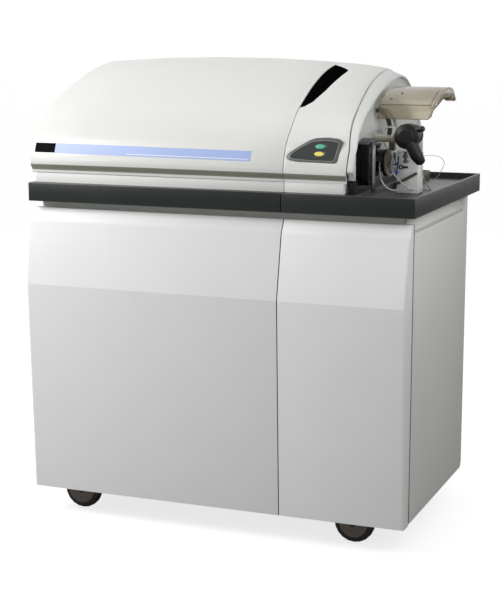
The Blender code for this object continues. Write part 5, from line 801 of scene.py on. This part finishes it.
# The bezel's field as shares of its width and height, and the shares of the bezel that it takes
BEZEL_OUTLINE = (
    (0.010, 0.150), (0.018, 0.270), (0.075, 0.400), (0.225, 0.640), (0.395, 0.880), (0.500, 0.965),
    (0.720, 1.000), (0.922, 0.960), (0.990, 0.870), (0.945, 0.100), (0.905, 0.015), (0.230, 0.030),
    (0.080, 0.070))
FIELD_WIDE, FIELD_HIGH = 0.90, 0.78
FIELD_THICK, FIELD_LINE, FIELD_END = 0.0003, 0.0007, 0.01
HOODS = (
    ("left_plinth", "plinth_paint", 0.0008), ("right_plinth", "plinth_paint", 0.0008),
    ("viewing_window", "window_tint", 0.0004), ("control_bezel", "bezel_plastic", 0.0010),
    ("end_panel", "panel_plastic", 0.0010), ("end_rail", "black_plastic", None))


def span(outline, z):
    """The left and right edges of an outline at a height."""
    found = []
    for (x0, z0), (x1, z1) in zip(outline, outline[1:] + outline[:1]):
        if min(z0, z1) <= z <= max(z0, z1) and z0 != z1:
            found.append(x0 + (x1 - x0) * (z - z0) / (z1 - z0))
    return min(found), max(found)


class INSTRUMENT_OT_hoods(bpy.types.Operator):
    """Dresses both hoods with their plinths, window, bezel and buttons"""
    bl_idname = "instrument.hoods"
    bl_label = "Hoods"

    def execute(self, context):
        skin("left_hood", "hood_plastic", edge=0.0012, shape=self.lower_lip)
        skin("right_hood", "hood_plastic", edge=0.0008, shape=self.lower_lip)
        for node in ("left_hood", "right_hood"):
            # A darker sheet on the lip's downward faces paints the shade under it
            face_shade_sheet(node, "seal_rubber", LIP_SHADE_THICK, lambda face: face.normal.z < LOOKS_DOWN
                      and face.normal.y < LOOKS_OUT and face.center.y < FRONT + LIP_DOWN
                      and face.center.z < LIP_LOW)
        for colour in ("green", "yellow"):
            skin(colour + "_button", colour + "_plastic", edge=0.0012, segments=3)
        skins(HOODS)
        self.bezel_field()
        return {"FINISHED"}

    def lower_lip(self, piece):
        """Draws the front lip down over the plinth's ledge."""
        for vertex in piece.data.vertices:
            place = vertex.co
            if place.y < FRONT + LIP_REACH and place.z < LIP_HIGH:
                inner = place.y > FRONT + LIP_INNER and place.z > LIP_FOOT
                under = min(1.0, max(0.0, (LIP_UNDER - place.z) / UNDER_RUN))
                front = min(1.0, (LIP_HIGH - place.z) / (LIP_HIGH - LIP_LOW))
                place.z -= LIP_DROP * (front + UNDER_SHARE * under)
                if place.z < LEDGE:
                    place.y = min(place.y, FRONT + (INNER_END if inner else OUTER_END))

    def bezel_field(self):
        """The darker field inside the bezel's rim, with a thin pale line round it."""
        nothing_selected()
        low, high, middle = middle_of("control_bezel")
        wide, tall = FIELD_WIDE * (high.x - low.x), FIELD_HIGH * (high.z - low.z)
        bpy.ops.mesh.primitive_grid_add(x_subdivisions=30, y_subdivisions=16, size=1)
        sheet = bpy.context.object
        sheet.name = "bezel_field"
        outline = [((u - 0.5) * wide + middle.x, (v - 0.5) * tall + middle.z) for u, v in BEZEL_OUTLINE]
        bottom, top = min(z for _, z in outline), max(z for _, z in outline)
        for vertex in sheet.data.vertices:
            z = bottom + (top - bottom) * (FIELD_END + (1 - 2 * FIELD_END) * (vertex.co.y + 0.5))
            left, right = span(outline, z)
            vertex.co = at(left + (right - left) * (vertex.co.x + 0.5), 0.0, z)
        laid_on(sheet, "control_bezel")
        edit(sheet)
        bpy.ops.mesh.region_to_loop()
        bpy.ops.mesh.duplicate()
        bpy.ops.mesh.separate(type="SELECTED")
        done()
        line = next(piece for piece in bpy.context.selected_objects if piece is not sheet)
        line.name = "bezel_line"
        only(line)
        bpy.ops.object.convert(target="CURVE")
        line.data.bevel_depth = FIELD_LINE
        line.data.bevel_resolution = 2
        bpy.ops.object.convert(target="MESH")
        applied(sheet, "SOLIDIFY", thickness=FIELD_THICK, offset=1.0)
        shaded(sheet)
        put(sheet, BODY_OF["control_bezel"], "control_bezel", "bezel_field")
        put(line, BODY_OF["control_bezel"], "control_bezel", "bezel_line")


# Marks on the left hood: name, left and right end, low and high edge, fall in degrees, finish, thickness
STRIPES = (
    ("hood_plate", (-0.6077, -0.5383), (1.1569, 1.1850), 0.2, "plate_black", 0.0006),
    ("hood_band", (-0.5381, 0.1129), (1.1535, 1.1829), 0.42, "stripe_ink", 0.0004),
    ("band_rule", (-0.292, 0.106), (1.1572, 1.1590), 0.42, "stripe_white", 0.0006))
# How far in front of the worktop a mark starts before it is pushed back onto the hood
STRIPE_START = 0.05


class INSTRUMENT_OT_stripe(bpy.types.Operator):
    """Adds the bare black plate and the pale blue band on the left hood's front"""
    bl_idname = "instrument.stripe"
    bl_label = "Stripe"

    def execute(self, context):
        for stripe in STRIPES:
            self.plate(*stripe)
        return {"FINISHED"}

    def plate(self, name, across, heights, fall, finish_name, proud):
        """A thin sheet laid on the hood's curved front, falling a little to the right."""
        nothing_selected()
        wide, high = across[1] - across[0], heights[1] - heights[0]
        middle = ((across[0] + across[1]) / 2, FRONT - STRIPE_START, (heights[0] + heights[1]) / 2)
        bpy.ops.mesh.primitive_grid_add(x_subdivisions=40, y_subdivisions=6, size=1, location=middle,
                                        rotation=(math.pi / 2, math.radians(fall), 0))
        sheet = bpy.context.object
        sheet.name = name
        sheet.scale = (wide, high, 1)
        placed(sheet)
        laid_on(sheet, "left_hood")
        applied(sheet, "SOLIDIFY", thickness=proud, offset=1.0)
        shaded(sheet)
        put(sheet, "left_hood", "left_hood", finish_name)


# The visor's lower front corner: its start along the visor, top, height, slope inwards and depth
CORNER_START, CORNER_TOP, CORNER_HEIGHT, CORNER_SLOPE, CORNER_DEPTH = 0.57, 1.3125, 0.0445, 0.013, 0.32
# The visor's section from its lower front edge up, as depth and height, and its outer face's distance from it
VISOR_SECTION = (
    (0.2850, 1.2690), (0.2912, 1.2835), (0.2985, 1.2972), (0.3072, 1.3123), (0.3272, 1.3250),
    (0.3581, 1.3366), (0.3999, 1.3481))
VISOR_FACE = (-0.0012, 0.0006)
# Straight lines on the visor: name, both ends, radius; then the lines along its section: name, place
# across, first and last point of the section, radius
VISOR_LINES = (
    ("visor_trim", (0.4205, 0.2850, 1.2688), (0.5765, 0.2850, 1.2688), 0.0011),
    ("rib", (0.428, 0.3055, 1.3095), (0.5795, 0.3055, 1.3095), 0.0013))
VISOR_ENDS = (("near_end", 0.4200, 0, 6, 0.0008), ("far_end", 0.5790, 2, 7, 0.0009))
VISOR_CLIPS = ((0.4495, 0.3310, 1.3272), (0.4713, 0.3720, 1.3410))
CLIP_LOW, CLIP_HIGH, CLIP_EDGE = Vector((0.0020, 0.0055, 0.0035)), Vector((0.0020, 0.0055, 0.0020)), 0.0010

BAY = (
    ("visor_rod", "steel", 0.0003), ("pump_housing", "black_gloss", 0.0003),
    ("pump_rotor", "black_gloss", 0.0004), ("pump_track", "black_plastic", 0.0003),
    ("pump_lever", "black_plastic", 0.0005), ("injector_adaptor", "ceramic", 0.0004),
    ("nebulizer", "black_plastic", 0.0005), ("valve_block", "white_plastic", 0.0004),
    ("valve_lever", "black_plastic", 0.0005), ("drain_trough", "brown_plastic", 0.0004),
    ("coolant_hose", "hose_rubber", 0), ("argon_tube", "gas_hose", 0))
FINE_TUBES = (
    ("pump_tube", "clear_tube"), ("drain_tube", "clear_tube"), ("rinse_tube", "clear_tube"),
    ("sample_capillary", "pink_tube"))
# Small blocks: name, low and high corner, soft edge, node, finish
BLOCKS = (
    ("pump_plate", (0.4560, 0.1180, 1.0880), (0.4580, 0.1465, 1.2170), 0.0006, "pump_housing", "aluminium"),
    ("pump_foot", (0.4555, 0.1120, 1.0640), (0.4600, 0.1465, 1.0880), 0.0008, "pump_housing",
     "black_plastic"),
    ("adaptor_clamp", (0.4650, 0.2560, 1.1760), (0.4815, 0.2760, 1.2060), 0.0016, "injector_adaptor",
     "olive_plastic"),
    ("green_bar", (0.4715, 0.2850, 1.1280), (0.4780, 0.2936, 1.1680), 0.0010, "valve_block",
     "fitting_grey"))

# Turned pieces, as steps of way along the axis and radius
ROTOR_DISC = (
    (-0.0062, 0.0402), (-0.0004, 0.0402), (0.0002, 0.0394), (0.0002, 0.0345), (-0.0002, 0.0338),
    (-0.0002, 0.0150), (0.0006, 0.0142), (0.0006, 0.0090))
ROTOR_SCREW = ((-0.0010, 0.0052), (0.0016, 0.0050), (0.0020, 0.0044), (0.0020, 0.0022), (0.0008, 0.0020))
COLLAR = ((0.0560, 0.0120), (0.0566, 0.0152), (0.0616, 0.0152), (0.0622, 0.0120))
BLUE_FITTING = ((-0.0005, 0.0050), (0.0030, 0.0050), (0.0036, 0.0044), (0.0075, 0.0042), (0.0080, 0.0030))
UNION = (
    (0.0000, 0.0060), (0.0005, 0.0068), (0.0080, 0.0068), (0.0085, 0.0048), (0.0140, 0.0048),
    (0.0145, 0.0080), (0.0245, 0.0080), (0.0250, 0.0055), (0.0340, 0.0055))
LEG = (
    (0.0180, 0.0060), (0.0200, 0.0190), (0.0300, 0.0196), (0.0620, 0.0193), (0.0740, 0.0172),
    (0.0830, 0.0130), (0.0900, 0.0075), (0.0940, 0.0030))
LEG_HEAD, LEG_FOOT = (0.535, 0.205, 1.223), (0.580, 0.205, 1.1435)
# Places in the bay, and the radii of its round pieces
FITTINGS = ((0.4812, 0.2935, 1.1335), (0.4812, 0.2935, 1.1080))
LINK_LOW, LINK_HIGH, LINK_RADIUS = (0.4812, 0.2900, 1.1080), (0.4868, 0.2900, 1.1560), 0.0016
UNION_FOOT = (0.5125, 0.2740, 1.1390)
SHELF_LOW, SHELF_HIGH = (0.5060, 0.2700, 1.1400), (0.5190, 0.2940, 1.1440)
RAIL_LOW, RAIL_HIGH, RAIL_RADIUS = (0.4830, 0.2895, 1.0740), (0.5440, 0.2895, 1.1080), 0.0046
# The chamber's domed front: its flat face's depth and radius, and the rim's depth, radius and pull inwards
DOME_FACE, DOME_FLAT, RIM_DEPTH, RIM_RADIUS, RIM_PULL = 0.1855, 0.030, 0.192, 0.0385, 0.36
DOME_BACK = 0.200
LOOP = (
    (0.4660, 0.2780, 1.2460), (0.4480, 0.2760, 1.2440), (0.4415, 0.2740, 1.2300), (0.4420, 0.2720, 1.2050),
    (0.4520, 0.2700, 1.1850), (0.4680, 0.2700, 1.1700), (0.4745, 0.2740, 1.1500), (0.4760, 0.2850, 1.1350))
LOOP_RADIUS = 0.0026
RING_MIDDLE, RING_WIDE, RING_DEEP = (0.4640, 0.2960, 1.2440), 0.0190, 0.0300
RING_RADIUS, RING_STEPS = 0.0013, 16


class INSTRUMENT_OT_sample_bay(bpy.types.Operator):
    """Dresses the visor, pump, adaptor, spray chamber, valve block and tubes"""
    bl_idname = "instrument.sample_bay"
    bl_label = "Sample bay"

    def execute(self, context):
        skin("visor", "smoked_clear", edge=0.0005, shape=self.slope_corner)
        self.visor_lines()
        skins(BAY)
        for name, low, high, edge, node, finish_name in BLOCKS:
            put(block(name, at(*low), at(*high), edge), BODY_OF[node], node, finish_name)
        self.turned_parts()
        self.chamber()
        self.fittings()
        self.tubes()
        return {"FINISHED"}

    def slope_corner(self, piece):
        """Slopes the visor's free end in towards its lower front corner."""
        for vertex in piece.data.vertices:
            place = vertex.co
            if place.x > CORNER_START and place.z < CORNER_TOP and place.y < FRONT + CORNER_DEPTH:
                place.x -= CORNER_SLOPE * (CORNER_TOP - place.z) / CORNER_HEIGHT

    def visor_lines(self):
        """The rib along the visor, its darker edges and its two clips."""
        out, up = VISOR_FACE
        section = [at(0, behind + out, z + up) for behind, z in VISOR_SECTION]
        parts = [tube(name, line_of(at(*first), at(*last)), radius)
                 for name, first, last, radius in VISOR_LINES]
        parts += [tube(name, [place + ACROSS * x for place in section[start:stop]], radius)
                  for name, x, start, stop, radius in VISOR_ENDS]
        parts += [block("clip", at(*place) - CLIP_LOW, at(*place) + CLIP_HIGH, CLIP_EDGE)
                  for place in VISOR_CLIPS]
        trim = joined(*parts)
        trim.name = "visor_trim"
        put(trim, BODY_OF["visor"], "visor", "visor_trim")

    def turned_parts(self):
        """The rotor's pale disc and screw on its free face, and the adaptor's pale collar."""
        for name, node, end, steps, sides, finish_name in (
                ("rotor_disc", "pump_rotor", 1, ROTOR_DISC, 56, "bronze_plastic"),
                ("rotor_screw", "pump_rotor", 1, ROTOR_SCREW, 24, "black_plastic"),
                ("adaptor_collar", "injector_adaptor", 0, COLLAR, 40, "beige_plastic")):
            box = middle_of(node)
            face = Vector((box[end].x, box[2].y, box[2].z))
            put(turned(name, face, ACROSS, steps, sides), BODY_OF[node], node, finish_name)

    def chamber(self):
        """The spray chamber as one grown shape: domed head and thick tapering leg."""
        piece = merged_copy("spray_chamber", "spray_chamber_skin")
        head, foot = at(*LEG_HEAD), at(*LEG_FOOT)
        for vertex in piece.data.vertices:
            place = vertex.co
            out = Vector((place.x - head.x, 0, place.z - head.z))
            if place.y < FRONT + DOME_BACK and out.length < DOME_FLAT:
                place.y = FRONT + DOME_FACE
            elif place.y < FRONT + RIM_DEPTH and out.length < RIM_RADIUS:
                vertex.co -= out * RIM_PULL
        joined(piece, turned("leg", head, (foot - head).normalized(), LEG))
        applied(piece, "REMESH", mode="VOXEL", voxel_size=0.0013)
        applied(piece, "SMOOTH", factor=0.6, iterations=7)
        shaded(piece, math.radians(80))
        put(piece, BODY_OF["spray_chamber"], "spray_chamber", "matt_black", "spray_chamber")

    def fittings(self):
        """The valve block's blue fittings with their link, grey union on its shelf, and brown rail."""
        blue = [turned("blue_fitting", at(*place), -DEPTH, BLUE_FITTING, 20) for place in FITTINGS]
        link = tube("link", line_of(at(*LINK_LOW), at(*LINK_HIGH), 6), LINK_RADIUS)
        union = turned("grey_union", at(*UNION_FOOT), UP, UNION, 24)
        shelf = block("shelf", at(*SHELF_LOW), at(*SHELF_HIGH), 0.0008)
        rail = tube("brown_rail", line_of(at(*RAIL_LOW), at(*RAIL_HIGH)), RAIL_RADIUS)
        for piece, finish_name in ((joined(*blue, link), "blue_plastic"),
                                   (joined(union, shelf), "fitting_grey"), (rail, "brown_plastic")):
            put(piece, "cabinet", "valve_block", finish_name)

    def tubes(self):
        """The fine tubes, a loop of fine tube and the pale ring round the hoses."""
        for node, finish_name in FINE_TUBES:
            skin(node, finish_name, edge=0, angle=SMOOTH_TUBE)
        loop = tube("loop_tube", [at(*place) for place in LOOP], LOOP_RADIUS)
        put(loop, "cabinet", "coolant_hose", "clear_tube")
        x, behind, z = RING_MIDDLE
        turns = [math.tau * i / RING_STEPS for i in range(RING_STEPS + 1)]
        ring = [at(x + RING_WIDE * math.cos(turn), behind + RING_DEEP * math.sin(turn), z) for turn in turns]
        put(tube("hose_ring", ring, RING_RADIUS), "cabinet", "coolant_hose", "white_plastic")


INSIDE = (
    ("torch_box", "case_metal", 0.0004), ("vacuum_chamber", "aluminium", 0.0008),
    ("chamber_cover", "aluminium", 0.0006), ("detector_housing", "steel", 0.0006),
    ("interface_block", "aluminium", 0.0006), ("sampler_cone", "steel", 0),
    ("left_turbo_pump", "aluminium", 0.0006), ("right_turbo_pump", "aluminium", 0.0006),
    ("electronics_rack", "grey_paint", 0.0005), ("rf_generator", "case_metal", 0.0005))


class INSTRUMENT_OT_inside(bpy.types.Operator):
    """Finishes the vacuum line, torch compartment and cabinet equipment"""
    bl_idname = "instrument.inside"
    bl_label = "Inside"

    def execute(self, context):
        skin("torch", "quartz", edge=0)
        skin("load_coil", "copper", edge=0, angle=SMOOTH_TUBE)
        skins(INSIDE)
        return {"FINISHED"}


class INSTRUMENT_PT_panel(bpy.types.Panel):
    """Lists the dressing's steps, colours and sizes"""
    bl_idname = "INSTRUMENT_PT_panel"
    bl_label = "Instrument"
    bl_space_type = "VIEW_3D"
    bl_region_type = "UI"
    bl_category = "Instrument"

    def draw(self, context):
        for step in STEPS:
            self.layout.operator(step.bl_idname)
        for values in (context.scene.instrument_finishes, context.scene.instrument_sizes):
            for label in values.bl_rna.properties.keys():
                if label not in ("rna_type", "name"):
                    self.layout.prop(values, label)


STEPS = (INSTRUMENT_OT_stage, INSTRUMENT_OT_cabinet, INSTRUMENT_OT_casters, INSTRUMENT_OT_hoods,
         INSTRUMENT_OT_stripe, INSTRUMENT_OT_sample_bay, INSTRUMENT_OT_inside)
CLASSES = (Finishes, Sizes) + STEPS + (INSTRUMENT_PT_panel,)


def register():
    for made in CLASSES:
        bpy.utils.register_class(made)
    bpy.types.Scene.instrument_finishes = bpy.props.PointerProperty(type=Finishes)
    bpy.types.Scene.instrument_sizes = bpy.props.PointerProperty(type=Sizes)


def unregister():
    del bpy.types.Scene.instrument_sizes
    del bpy.types.Scene.instrument_finishes
    for made in reversed(CLASSES):
        bpy.utils.unregister_class(made)


def main():
    register()
    for step in STEPS:
        family, name = step.bl_idname.split(".")
        getattr(getattr(bpy.ops, family), name)()
    nothing_selected()


if __name__ == "__main__":
    main()
